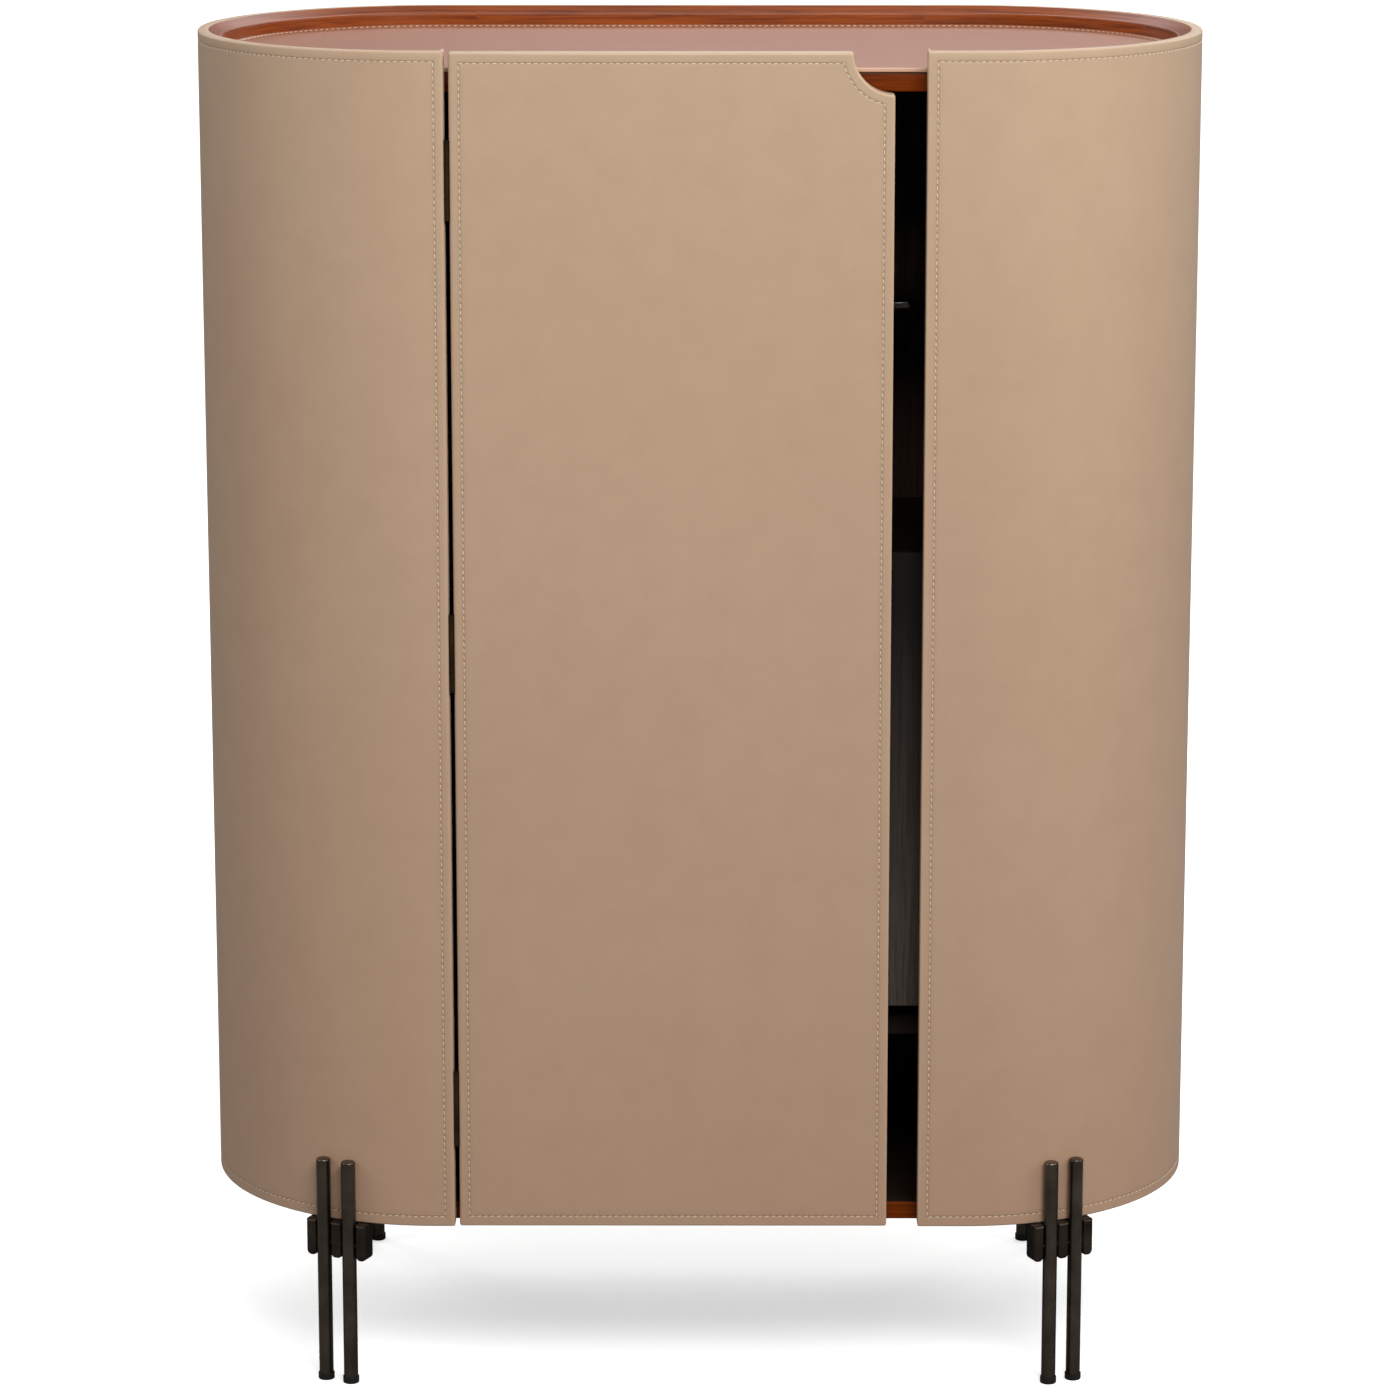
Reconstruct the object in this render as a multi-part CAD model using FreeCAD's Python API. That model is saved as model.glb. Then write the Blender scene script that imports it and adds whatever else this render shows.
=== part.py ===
"""Bar cabinet: a leather-clad body with round ends on four pairs of steel rods, a door, a fold-out shelf.

Frame: the origin is on the floor under the middle of the body. X runs to the right, the front faces -Y
and Z runs up. All sizes are in millimetres. Each sub-part is written to its own STEP file in parts/.
"""
import FreeCAD, Part
import math
import os

V = FreeCAD.Vector
UP = V(0, 0, 1)

# Body
WIDTH = 900.0               # over the leather, end to end
DEPTH = 420.0               # over the leather, front to back
HEIGHT = 1210.0             # floor to the leather lip of the top
BODY_BOTTOM = 151.0         # floor to the lower edge of the leather
LEFT_STILE = 19.5           # flat strip of the front between the left round end and the door opening
RIGHT_STILE = 43.5          # and on the right: the opening stands a little left of the middle
BACK_STILE = 31.5           # flat strip of the back between a round end and the back panel
LEATHER = 2.5
SHELL_BOARD = 20.0          # bent plywood of the walls
LEATHER_ROUND = 3.5         # rounding of every leather-wrapped edge
JOINT = 0.1                 # play of a board between its neighbours

# Rim, top and boards
LIP = 10.0                  # leather-wrapped outer strip of the wall's top edge
RIM_DROP = 6.0              # fall of the rim's sloping top towards the middle
RIM_FACE = 12.0             # upright inner face of the rim above the leather top
TOP_LEATHER = 4.0
TOP_BOARD = 15.0
BOTTOM_BOARD = 16.0

# Shelves
MID_SHELF_TOP = 746.0
LOWER_SHELF_TOP = 335.0
SHELF_BOARD = 18.0
SHELF_SETBACK = 30.0        # from the inner face of the door to a shelf's front edge
GLASS_SHELF_TOP = 961.0
GLASS_SHELF = 6.0
GLASS_SHELF_DEPTH = 186.0
GLASS_PLAY = 1.0
SHELF_PIN_R = 3.0
SHELF_PIN_IN = 8.0
SHELF_PIN_OUT = 12.0
SHELF_PIN_X = 110.0         # pins of the back wall, from the middle
SHELF_PIN_ANGLE = 50.0      # pins of the round ends, from the X axis
PIN_FIT = 0.05

# Stile that closes the bottle compartment beside the fold-out shelf
STILE_FROM_LEAF = 8.5       # from the fold-out shelf's side
STILE_FROM_END = 1.0        # from the start of the round end
STILE_FROM_SHELF = 17.0     # from the lower shelf's top to the stile's lower end
STILE_OVER_SHELF = 21.0     # and from the middle shelf's top to its upper end
STILE_THICK = 15.0
STILE_ROUND = 1.5

# Door
HINGE_GAP = 4.0             # between the left wall's edge and the door
GRIP_GAP = 28.0             # between the door and the right wall's edge
DOOR_THICK = 20.0
DOOR_LINING = 2.5
LINING_INSET = 1.0
DOOR_TOP_DROP = 1.5
DOOR_BOTTOM_RISE = 0.5
NOTCH_R = 36.0              # finger notch in the door's free upper corner
CORNER_R = 4.0              # corners of the door's outline

# Door hinges
HINGES = ("lower", "middle", "upper")
HINGE_END = 110.0           # from the door's end to the middle of the first hinge
HINGE_HEIGHT = 70.0
HINGE_PLATE = 1.3
HINGE_PLATE_WIDTH = 14.0
KNUCKLE_R = 2.4
KNUCKLE_DEPTH = 0.2         # knuckle behind the door's front face
KNUCKLE_GAP = 0.3
POCKET_GAP = 0.3
HINGE_PIN_R = 1.2
KNUCKLE_SHARE = 0.25        # of the hinge's height, in each outer knuckle

# Fold-out shelf
LEAF_THICK = 15.0
LEAF_SIDE = 16.0            # from the door's upright edges
LEAF_AXIS_DROP = 23.0       # from the middle shelf's underside to the hinge axis
LEAF_BACK_CLEAR = 20.0      # from the raised leaf to the back wall
LEAF_ROUND = 2.0
FLAP_PLATE = 1.5
FLAP_WIDTH = 45.0
FLAP_LENGTH = 27.0
FLAP_INSET = 60.0           # from the leaf's side to the middle of a hinge
FLAP_KNUCKLE_R = 2.5
FLAP_PIN_R = 1.25
FLAP_RUN = 0.3              # running gap of the leaf and its hinges
FLAP_KNUCKLE_TO_DOOR = 0.2
LEAF_TOP_GAP = 0.6          # between the knuckles and the leaf's upper edge

# Catch and bumpers
CATCH_WIDTH = 40.0
CATCH_HEIGHT = 12.0
CATCH_DEPTH = 16.0
CATCH_FROM_EDGE = 60.0      # from the door's free edge to the catch's middle
CATCH_AIR = 0.3
STRIKE_PLATE = 1.2
STRIKE_INSET = 4.0
BUMPER_R = 4.0
BUMPER_AIR = 0.2
BUMPER_FROM_EDGE = (90.0, 20.0)     # upper and lower bumper, from the door's free edge

# Legs
ROD_R = 6.5
ROD_TOP = 210.0
ROD_CHAMFER = 1.3
ROD_AIR = 0.3               # between a rod and the leather
ROD_SPACING = 25.3          # between the two rods of a leg
LEG_ANGLE = 65.8            # of a leg's middle, from the X axis
LUG_WIDTH = 10.2
LUG_GAP = 0.6               # between a lug and a rod
LUG_DROP = 34.0             # from the body's underside to a lug's lower end
LUG_IN = 13.0               # depth of a lug, inwards from the rods' centre line
LUG_OUT = 2.5               # and outwards
LUG_END_R = 4.6
LUG_EDGE_R = 2.6
WEB_DROP = 15.0             # web behind the rods, from the body's underside to its upper edge
WEB_RISE = 5.0              # and from the lugs' lower ends to its lower edge
FLANGE = 4.0
FLANGE_IN = 62.0            # flange under the bottom board, inwards from the rods' centre line
CROSS_PIN_R = 1.6
CROSS_PIN_DROP = 20.0       # below the body's underside
GLIDE_R = 7.4
GLIDE_HEIGHT = 6.0
GLIDE_ROUND = 1.2
GLIDE_STEM_R = 3.0
GLIDE_STEM = 12.0

# Screws: head radius, shank radius, head height, length
HINGE_SCREW = (2.4, 1.2, 1.2, 14.0)
FLAP_SCREW = (2.6, 1.4, 1.3, 12.0)
FLANGE_SCREW = (3.8, 2.0, 2.4, 15.0)
WALL_SCREW = (4.4, 2.2, 2.6, 29.0)
SCREW_FIT = 0.05
HINGE_SCREW_SHARE = 0.3     # of the hinge's height, from its middle to a screw
FLAP_SCREW_SHARE = 0.3      # of the flap hinge's width
FLANGE_SCREW_SIDE = 15.0    # from the leg's middle line
FLANGE_SCREW_IN = 50.0      # inwards from the rods' centre line
WALL_SCREW_Z = 192.0

# Places that follow from the sizes
END_R = DEPTH / 2
END_X = WIDTH / 2 - END_R
OPEN_LEFT = -END_X + LEFT_STILE
OPEN_RIGHT = END_X - RIGHT_STILE
BACK_HALF = END_X - BACK_STILE
WALL = LEATHER + SHELL_BOARD
INNER_R = END_R - WALL
LEATHER_TOP_Z = HEIGHT - RIM_DROP - RIM_FACE
TOP_BOARD_TOP = LEATHER_TOP_Z - TOP_LEATHER
TOP_BOARD_Z = TOP_BOARD_TOP - TOP_BOARD
BOTTOM_BOARD_TOP = BODY_BOTTOM + BOTTOM_BOARD
FRONT_Y = -END_R
DOOR_LEFT = OPEN_LEFT + HINGE_GAP
DOOR_RIGHT = OPEN_RIGHT - GRIP_GAP
DOOR_Z = BODY_BOTTOM + DOOR_BOTTOM_RISE
DOOR_TOP_Z = HEIGHT - DOOR_TOP_DROP
DOOR_BACK_Y = FRONT_Y + DOOR_THICK
LINING_Y = DOOR_BACK_Y - DOOR_LINING
HINGE_X = OPEN_LEFT + HINGE_GAP / 2
HINGE_Y = FRONT_Y + KNUCKLE_R + KNUCKLE_DEPTH
LEAF_AXIS_Z = MID_SHELF_TOP - SHELF_BOARD - LEAF_AXIS_DROP
LEAF_AXIS_Y = DOOR_BACK_Y + FLAP_KNUCKLE_R + FLAP_KNUCKLE_TO_DOOR
LEAF_FACE_Y = DOOR_BACK_Y + FLAP_RUN + FLAP_PLATE
LEAF_TOP_Z = LEAF_AXIS_Z - FLAP_KNUCKLE_R - LEAF_TOP_GAP
LEAF_LENGTH = INNER_R - LEAF_BACK_CLEAR - LEAF_AXIS_Y
LEAF_LEFT = DOOR_LEFT + LEAF_SIDE
LEAF_RIGHT = DOOR_RIGHT - LEAF_SIDE
STILE_X = (LEAF_RIGHT + STILE_FROM_LEAF, END_X - STILE_FROM_END)
STILE_Z = (LOWER_SHELF_TOP + STILE_FROM_SHELF, MID_SHELF_TOP + STILE_OVER_SHELF)
ROD_LINE_R = END_R + ROD_AIR + ROD_R
SIDES = (("left", -1), ("right", 1))
ENDS = (("front", -1), ("back", 1))
CUT = 1.0                   # how far a cutting solid runs past what it cuts


def block(x, y, z):
    """Box between pairs of limits."""
    return Part.makeBox(x[1] - x[0], y[1] - y[0], z[1] - z[0], V(x[0], y[0], z[0]))


def line(start, end, z=0.0):
    return Part.makeLine(V(start[0], start[1], z), V(end[0], end[1], z))


def joined(shapes):
    """One solid out of touching or overlapping shapes."""
    return shapes[0].multiFuse(shapes[1:]).removeSplitter()


def without(shape, cutters):
    """Shape with a list of cutting shapes taken out of it."""
    return shape.cut(Part.makeCompound(cutters))


def on_side(shape, side):
    """The shape as built for the right, or its mirror image for the left."""
    return shape if side > 0 else shape.mirror(V(0, 0, 0), V(1, 0, 0))


def reveal_x(side):
    """Distance from the middle to the door opening's edge on one side."""
    return OPEN_RIGHT if side > 0 else -OPEN_LEFT


def rounded(shape, radius, chosen):
    """Shape with a fillet on each edge whose middle passes the test."""
    edges = [edge for edge in shape.Edges if chosen(edge.valueAt(sum(edge.ParameterRange) / 2), edge)]
    return shape.makeFillet(radius, edges)


def near(a, b):
    return abs(a - b) < 1e-4


def plan_plate(radius, low, high):
    """Plate with the body's plan, brought in to an end radius."""
    right = Part.Arc(V(END_X, -radius, low), V(END_X + radius, 0, low), V(END_X, radius, low)).toShape()
    left = Part.Arc(V(-END_X, radius, low), V(-END_X - radius, 0, low), V(-END_X, -radius, low)).toShape()
    back = line((END_X, radius), (-END_X, radius), low)
    front = line((-END_X, -radius), (END_X, -radius), low)
    return Part.Face(Part.Wire([front, right, back, left])).extrude(UP * (high - low))


def wall_solid(r_out, r_in, x_front, x_back, low, high):
    """Right-hand stretch of a wall that follows the body's plan, from the front round to the back."""
    outer = Part.Arc(V(END_X, -r_out, low), V(END_X + r_out, 0, low), V(END_X, r_out, low)).toShape()
    inner = Part.Arc(V(END_X, r_in, low), V(END_X + r_in, 0, low), V(END_X, -r_in, low)).toShape()
    edges = [
        line((x_front, -r_out), (END_X, -r_out), low),
        outer,
        line((END_X, r_out), (x_back, r_out), low),
        line((x_back, r_out), (x_back, r_in), low),
        line((x_back, r_in), (END_X, r_in), low),
        inner,
        line((END_X, -r_in), (x_front, -r_in), low),
        line((x_front, -r_in), (x_front, -r_out), low),
    ]
    return Part.Face(Part.Wire(edges)).extrude(UP * (high - low))


def rim_section():
    """Section of the rim as (radius, height): an upright inner face and a top that rises to the lip."""
    r_in, r_out = INNER_R, END_R - LIP
    return [(r_in, TOP_BOARD_TOP), (r_out, TOP_BOARD_TOP), (r_out, HEIGHT), (r_in, HEIGHT - RIM_DROP)]


def section_face(points, x, sign):
    """Section as a face square to X, on the front (-1) or back (1) run of the wall."""
    corners = [V(x, sign * radius, height) for radius, height in points]
    return Part.Face(Part.makePolygon(corners + corners[:1]))


def rim_right(open_x):
    """Rim of the right wall: two straight runs and the round end between them."""
    x_end = open_x + LEATHER
    front = section_face(rim_section(), x_end, -1).extrude(V(END_X - x_end, 0, 0))
    end = section_face(rim_section(), END_X, -1).revolve(V(END_X, 0, 0), UP, 180)
    back = section_face(rim_section(), BACK_HALF, 1).extrude(V(END_X - BACK_HALF, 0, 0))
    return joined([front, end, back])


def rim_back():
    """Rim of the back wall, between the two others."""
    half = BACK_HALF - JOINT
    return section_face(rim_section(), -half, 1).extrude(V(2 * half, 0, 0))


def rim_space(low_x, high_x):
    """What the rim takes out of the back wall's top edge."""
    return block((low_x, high_x), (INNER_R - CUT, END_R - LIP), (TOP_BOARD_TOP, HEIGHT + CUT))


def wall_rim_space(open_x):
    """What the rim takes out of the right wall's top edge."""
    x_front = open_x + LEATHER
    return wall_solid(END_R - LIP, INNER_R - CUT, x_front, BACK_HALF - CUT, TOP_BOARD_TOP, HEIGHT + CUT)


def board_right(open_x, grow=0.0):
    """Bent plywood of the right wall, with a rebate for the rim; grow lengthens it to cut the leather."""
    x_front = open_x + LEATHER
    core = wall_solid(END_R - LEATHER, INNER_R - grow, x_front, BACK_HALF - grow,
                      BODY_BOTTOM + LEATHER, HEIGHT - LEATHER)
    return core.cut(wall_rim_space(open_x))


def leather_right(open_x):
    """Leather of the right wall: the outside, turned over the top, the bottom and the opening's edge."""
    skin = wall_solid(END_R, INNER_R, open_x, BACK_HALF, BODY_BOTTOM, HEIGHT)

    def outer_edge(point, edge):
        end_plane = near(point.z, HEIGHT) or near(point.z, BODY_BOTTOM)
        straight = near(abs(point.y), END_R)
        round_end = near(math.hypot(point.x - END_X, point.y), END_R) and point.x > END_X
        corner = near(point.x, open_x) and point.y < 0
        if end_plane:
            return straight or round_end or (corner and point.y < -INNER_R)
        return corner and near(point.y, -END_R)

    skin = rounded(skin, LEATHER_ROUND, outer_edge)
    return skin.cut(board_right(open_x, CUT)).cut(wall_rim_space(open_x))


def back_board():
    """Flat plywood back, with the rebate for the rim."""
    half = BACK_HALF - JOINT
    board = block((-half, half), (INNER_R, END_R - LEATHER), (BODY_BOTTOM + LEATHER, HEIGHT - LEATHER))
    return board.cut(rim_space(-half - CUT, half + CUT))


def back_leather():
    """Leather of the back, turned over its top and bottom edges."""
    half = BACK_HALF - JOINT
    skin = block((-half, half), (INNER_R, END_R), (BODY_BOTTOM, HEIGHT))
    skin = rounded(skin, LEATHER_ROUND, lambda p, e: near(p.y, END_R) and near(p.x, 0))
    board = block((-half - CUT, half + CUT), (INNER_R - CUT, END_R - LEATHER),
                  (BODY_BOTTOM + LEATHER, HEIGHT - LEATHER))
    return skin.cut(board).cut(rim_space(-half - CUT, half + CUT))


def shelf(top, thickness, front_y, play):
    """Shelf that fills the plan of the inside from a front line to the back."""
    plate = plan_plate(INNER_R - play, top - thickness, top)
    front = block((-WIDTH, WIDTH), (-DEPTH, front_y), (top - thickness - CUT, top + CUT))
    return plate.cut(front)


def stile():
    """Upright board glued to the inner face of the right wall, behind the grip gap."""
    face = -INNER_R + JOINT
    board = block(STILE_X, (face, face + STILE_THICK), STILE_Z)
    return rounded(board, STILE_ROUND, lambda p, e: not near(p.y, face))


def shelf_pin_seats(shelf_top, thickness, with_front):
    """Foot point on the inner wall and outward direction of each pin under a shelf."""
    z = shelf_top - thickness - SHELF_PIN_R
    seats = [(V(x, INNER_R, z), V(0, 1, 0)) for x in (-SHELF_PIN_X, SHELF_PIN_X)]
    angles = (SHELF_PIN_ANGLE, -SHELF_PIN_ANGLE) if with_front else (SHELF_PIN_ANGLE,)
    for _, side in SIDES:
        for angle in angles:
            out = V(side * math.cos(math.radians(angle)), math.sin(math.radians(angle)), 0)
            seats.append((V(side * END_X, 0, z) + out * INNER_R, out))
    return seats


def shelf_pins(seats, grow=0.0):
    """Round pins in the walls; grow makes the holes for them."""
    length = SHELF_PIN_IN + SHELF_PIN_OUT + grow
    return [Part.makeCylinder(SHELF_PIN_R + grow, length, foot - out * SHELF_PIN_OUT, out)
            for foot, out in seats]


def countersunk(at, along, size, grow=0.0):
    """Countersunk screw with its head flush at a point; grow makes the hole for it."""
    head_r, shank_r, head_height, length = size
    head = Part.makeCone(head_r + grow, shank_r + grow, head_height, at, along)
    shank = Part.makeCylinder(shank_r + grow, length + grow, at, along)
    return joined([head, shank])


def door_outline(inset, notch_inset, y0, y1):
    """Slab with the door's outline and its finger notch, brought in by an inset."""
    x0, x1 = DOOR_LEFT + inset, DOOR_RIGHT - inset
    z0, z1 = DOOR_Z + inset, DOOR_TOP_Z - inset
    slab = block((x0, x1), (y0, y1), (z0, z1))
    notch = Part.makeCylinder(NOTCH_R + notch_inset, y1 - y0 + 2 * CUT, V(DOOR_RIGHT, y0 - CUT, DOOR_TOP_Z),
                              V(0, 1, 0))
    return slab.cut(notch)


def door_leather(holes):
    """Leather of the door: the front, turned over all its edges."""
    slab = door_outline(0.0, 0.0, FRONT_Y, LINING_Y)
    slab = rounded(slab, CORNER_R, lambda p, e: near(e.Length, LINING_Y - FRONT_Y))
    slab = rounded(slab, LEATHER_ROUND, lambda p, e: near(p.y, FRONT_Y))
    core = door_outline(LEATHER, LEATHER, FRONT_Y + LEATHER, LINING_Y + CUT)
    return without(slab.cut(core), holes)


def hinge_heights():
    first, last = DOOR_Z + HINGE_END, DOOR_TOP_Z - HINGE_END
    step = (last - first) / (len(HINGES) - 1)
    return [first + i * step for i in range(len(HINGES))]


def knuckle_limits(mid):
    """Heights of the lower, middle and upper knuckle of a door hinge."""
    low, high = mid - HINGE_HEIGHT / 2, mid + HINGE_HEIGHT / 2
    part = HINGE_HEIGHT * KNUCKLE_SHARE
    return [(low, low + part), (low + part + KNUCKLE_GAP, high - part - KNUCKLE_GAP), (high - part, high)]


def hinge_leaf(mid, x0, x1, knuckles):
    """Plate of a door hinge between two X limits, with its knuckles and the holes of its screws."""
    plate_y = HINGE_Y + KNUCKLE_R + KNUCKLE_GAP
    low, high = mid - HINGE_HEIGHT / 2, mid + HINGE_HEIGHT / 2
    pieces = [block((x0, x1), (plate_y, plate_y + HINGE_PLATE_WIDTH), (low, high))]
    for z0, z1 in knuckles:
        pieces.append(Part.makeCylinder(KNUCKLE_R, z1 - z0, V(HINGE_X, HINGE_Y, z0), UP))
        pieces.append(block((x0, x1), (HINGE_Y, plate_y + CUT), (z0, z1)))
    leaf = joined(pieces)
    bore = Part.makeCylinder(HINGE_PIN_R + PIN_FIT, HINGE_HEIGHT + 2 * CUT, V(HINGE_X, HINGE_Y, low - CUT), UP)
    return leaf.cut(bore)


def hinge_screws(mid, x, way, grow=0.0):
    """Screws of a door hinge's plate, driven from its open face at x."""
    y = HINGE_Y + KNUCKLE_R + KNUCKLE_GAP + HINGE_PLATE_WIDTH / 2
    offsets = (-HINGE_SCREW_SHARE * HINGE_HEIGHT, HINGE_SCREW_SHARE * HINGE_HEIGHT)
    return [countersunk(V(x, y, mid + dz), V(way, 0, 0), HINGE_SCREW, grow) for dz in offsets]


def hinge_pin(mid):
    return Part.makeCylinder(HINGE_PIN_R, HINGE_HEIGHT, V(HINGE_X, HINGE_Y, mid - HINGE_HEIGHT / 2), UP)


def hinge_pockets():
    """Room for the knuckles in the leather on both sides of the gap."""
    height = HINGE_HEIGHT + 2 * POCKET_GAP
    return [Part.makeCylinder(KNUCKLE_R + POCKET_GAP, height, V(HINGE_X, HINGE_Y, mid - height / 2), UP)
            for mid in hinge_heights()]


def flap_middles():
    return (LEAF_LEFT + FLAP_INSET, LEAF_RIGHT - FLAP_INSET)


def flap_knuckles(mid):
    """X limits of the three knuckles of a flap hinge."""
    low, high = mid - FLAP_WIDTH / 2, mid + FLAP_WIDTH / 2
    part = FLAP_WIDTH * KNUCKLE_SHARE
    return [(low, low + part), (low + part + FLAP_RUN, high - part - FLAP_RUN), (high - part, high)]


def flap_plate(mid, y0, way, knuckles):
    """Plate of a flap hinge, above (1) or below (-1) the axis, with its knuckles."""
    start = LEAF_AXIS_Z + way * (FLAP_KNUCKLE_R + FLAP_RUN)
    end = LEAF_AXIS_Z + way * FLAP_LENGTH
    x = (mid - FLAP_WIDTH / 2, mid + FLAP_WIDTH / 2)
    y = (y0, y0 + FLAP_PLATE)
    pieces = [block(x, y, sorted((start, end)))]
    for x0, x1 in knuckles:
        axis = V(x0, LEAF_AXIS_Y, LEAF_AXIS_Z)
        pieces.append(Part.makeCylinder(FLAP_KNUCKLE_R, x1 - x0, axis, V(1, 0, 0)))
        pieces.append(block((x0, x1), y, sorted((LEAF_AXIS_Z, start + way * CUT))))
    bore_start = V(x[0] - CUT, LEAF_AXIS_Y, LEAF_AXIS_Z)
    bore = Part.makeCylinder(FLAP_PIN_R + PIN_FIT, FLAP_WIDTH + 2 * CUT, bore_start, V(1, 0, 0))
    return joined(pieces).cut(bore)


def flap_screws(mid, y, way_y, way_z, grow=0.0):
    """Screws of a flap hinge's plate, driven along Y from its open face."""
    z = LEAF_AXIS_Z + way_z * (FLAP_KNUCKLE_R + FLAP_RUN + FLAP_LENGTH) / 2
    offsets = (-FLAP_SCREW_SHARE * FLAP_WIDTH, FLAP_SCREW_SHARE * FLAP_WIDTH)
    return [countersunk(V(mid + dx, y, z), V(0, way_y, 0), FLAP_SCREW, grow) for dx in offsets]


def flap_pin(mid):
    start = V(mid - FLAP_WIDTH / 2, LEAF_AXIS_Y, LEAF_AXIS_Z)
    return Part.makeCylinder(FLAP_PIN_R, FLAP_WIDTH, start, V(1, 0, 0))


def leaf_board():
    """Fold-out shelf, hanging behind the door, with its edges eased."""
    tip_z = LEAF_AXIS_Z - LEAF_LENGTH
    board = block((LEAF_LEFT, LEAF_RIGHT), (LEAF_FACE_Y, LEAF_FACE_Y + LEAF_THICK), (tip_z, LEAF_TOP_Z))
    return rounded(board, LEAF_ROUND, lambda p, e: not near(p.z, LEAF_TOP_Z))


def leg_frame(side, end):
    """Centre of the round end, outward and sideways directions of a leg."""
    angle = math.radians(LEG_ANGLE)
    out = V(side * math.cos(angle), end * math.sin(angle), 0)
    return V(side * END_X, 0, 0), out, V(-out.y, out.x, 0)


def rod_places(side, end):
    """Plan position of the outer and the inner rod of a leg, each with its outward direction."""
    half = math.degrees(math.asin(ROD_SPACING / 2 / ROD_LINE_R))
    places = []
    for angle in (LEG_ANGLE - half, LEG_ANGLE + half):
        out = V(side * math.cos(math.radians(angle)), end * math.sin(math.radians(angle)), 0)
        places.append((V(side * END_X, 0, 0) + out * ROD_LINE_R, out))
    return places


def rod(place, holes):
    """Upright steel rod of a leg, with a chamfered top."""
    height = ROD_TOP - GLIDE_HEIGHT
    bar = Part.makeCylinder(ROD_R, height, place + UP * GLIDE_HEIGHT, UP)
    top = [edge for edge in bar.Edges if near(edge.CenterOfMass.z, ROD_TOP)]
    bar = bar.makeChamfer(ROD_CHAMFER, top)
    socket = Part.makeCylinder(GLIDE_STEM_R + PIN_FIT, GLIDE_STEM + CUT, place + UP * GLIDE_HEIGHT, UP)
    return without(bar, holes + [socket])


def glide(place):
    """Plastic foot with a stem that is pressed into a rod."""
    foot = Part.makeCylinder(GLIDE_R, GLIDE_HEIGHT, place, UP)
    foot = rounded(foot, GLIDE_ROUND, lambda p, e: near(p.z, 0))
    stem = Part.makeCylinder(GLIDE_STEM_R, GLIDE_STEM + CUT, place + UP * (GLIDE_HEIGHT - CUT), UP)
    return joined([foot, stem])


def in_leg(shape, frame):
    """Shape drawn with X outwards and Y sideways, put in its place at a leg."""
    centre, out, along = frame
    shape.Placement = FreeCAD.Placement(centre, FreeCAD.Rotation(out, along, UP, "ZXY"))
    return shape


def bracket(side, end):
    """Cast bracket: a flange under the bottom board, three lugs that hold the two rods between them, and a
    web behind the rods that ties the lugs together."""
    frame = leg_frame(side, end)
    low = BODY_BOTTOM - LUG_DROP
    pitch = ROD_SPACING / 2 + ROD_R + LUG_GAP
    middle = ROD_SPACING / 2 - ROD_R - LUG_GAP
    edge = pitch + LUG_WIDTH
    spans = ((-edge, -pitch), (-middle, middle), (pitch, edge))
    behind = ROD_LINE_R - ROD_R - LUG_GAP
    flange = block((ROD_LINE_R - FLANGE_IN, behind), (-edge, edge), (BODY_BOTTOM - FLANGE, BODY_BOTTOM))
    web = block((ROD_LINE_R - LUG_IN + JOINT, behind), (-pitch - CUT, pitch + CUT),
                (low + WEB_RISE, BODY_BOTTOM - WEB_DROP))
    body = in_leg(joined([flange, web] + [lug(span, low) for span in spans]), frame)
    holes = flange_screws(side, end, SCREW_FIT) + [cross_pin(side, end, PIN_FIT)]
    return without(body, holes)


def lug(span, low):
    """Lug with a round lower end and eased outer edges."""
    radial = (ROD_LINE_R - LUG_IN, ROD_LINE_R + LUG_OUT)
    box = block(radial, span, (low, BODY_BOTTOM))
    width = span[1] - span[0]
    end_r = min(LUG_END_R, width / 2 - JOINT)
    box = rounded(box, end_r, lambda p, e: near(p.z, low) and near(e.Length, LUG_IN + LUG_OUT))
    return rounded(box, LUG_EDGE_R, lambda p, e: near(p.x, radial[1]))


def flange_screws(side, end, grow=0.0):
    """Screws that hold a bracket up against the bottom board."""
    centre, out, along = leg_frame(side, end)
    start = centre + out * (ROD_LINE_R - FLANGE_SCREW_IN) + UP * (BODY_BOTTOM - FLANGE)
    return [countersunk(start + along * offset, UP, FLANGE_SCREW, grow)
            for offset in (-FLANGE_SCREW_SIDE, FLANGE_SCREW_SIDE)]


def cross_pin(side, end, grow=0.0):
    """Pin through the lugs and both rods of a leg."""
    centre, out, along = leg_frame(side, end)
    reach = ROD_SPACING / 2 + ROD_R + LUG_GAP + LUG_WIDTH / 2
    radius = ROD_LINE_R * math.cos(math.asin(ROD_SPACING / 2 / ROD_LINE_R))
    start = centre + out * radius - along * (reach + grow) + UP * (BODY_BOTTOM - CROSS_PIN_DROP)
    return Part.makeCylinder(CROSS_PIN_R + grow, 2 * (reach + grow), start, along)


def wall_screw(place, out, grow=0.0):
    """Screw from inside the cabinet through the wall into a rod."""
    start = place - out * (ROD_LINE_R - INNER_R) + UP * WALL_SCREW_Z
    return countersunk(start, out, WALL_SCREW, grow)


def save(name, shapes):
    """Write one sub-part, as one solid or as a group of separate solids."""
    shape = shapes if not isinstance(shapes, list) else Part.makeCompound(shapes)
    bad = [solid for solid in shape.Solids if not solid.isValid()]
    print(name, len(shape.Solids), "solids", "INVALID" if bad or not shape.Solids else "")
    shape.exportStep("parts/" + name + ".step")


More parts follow.
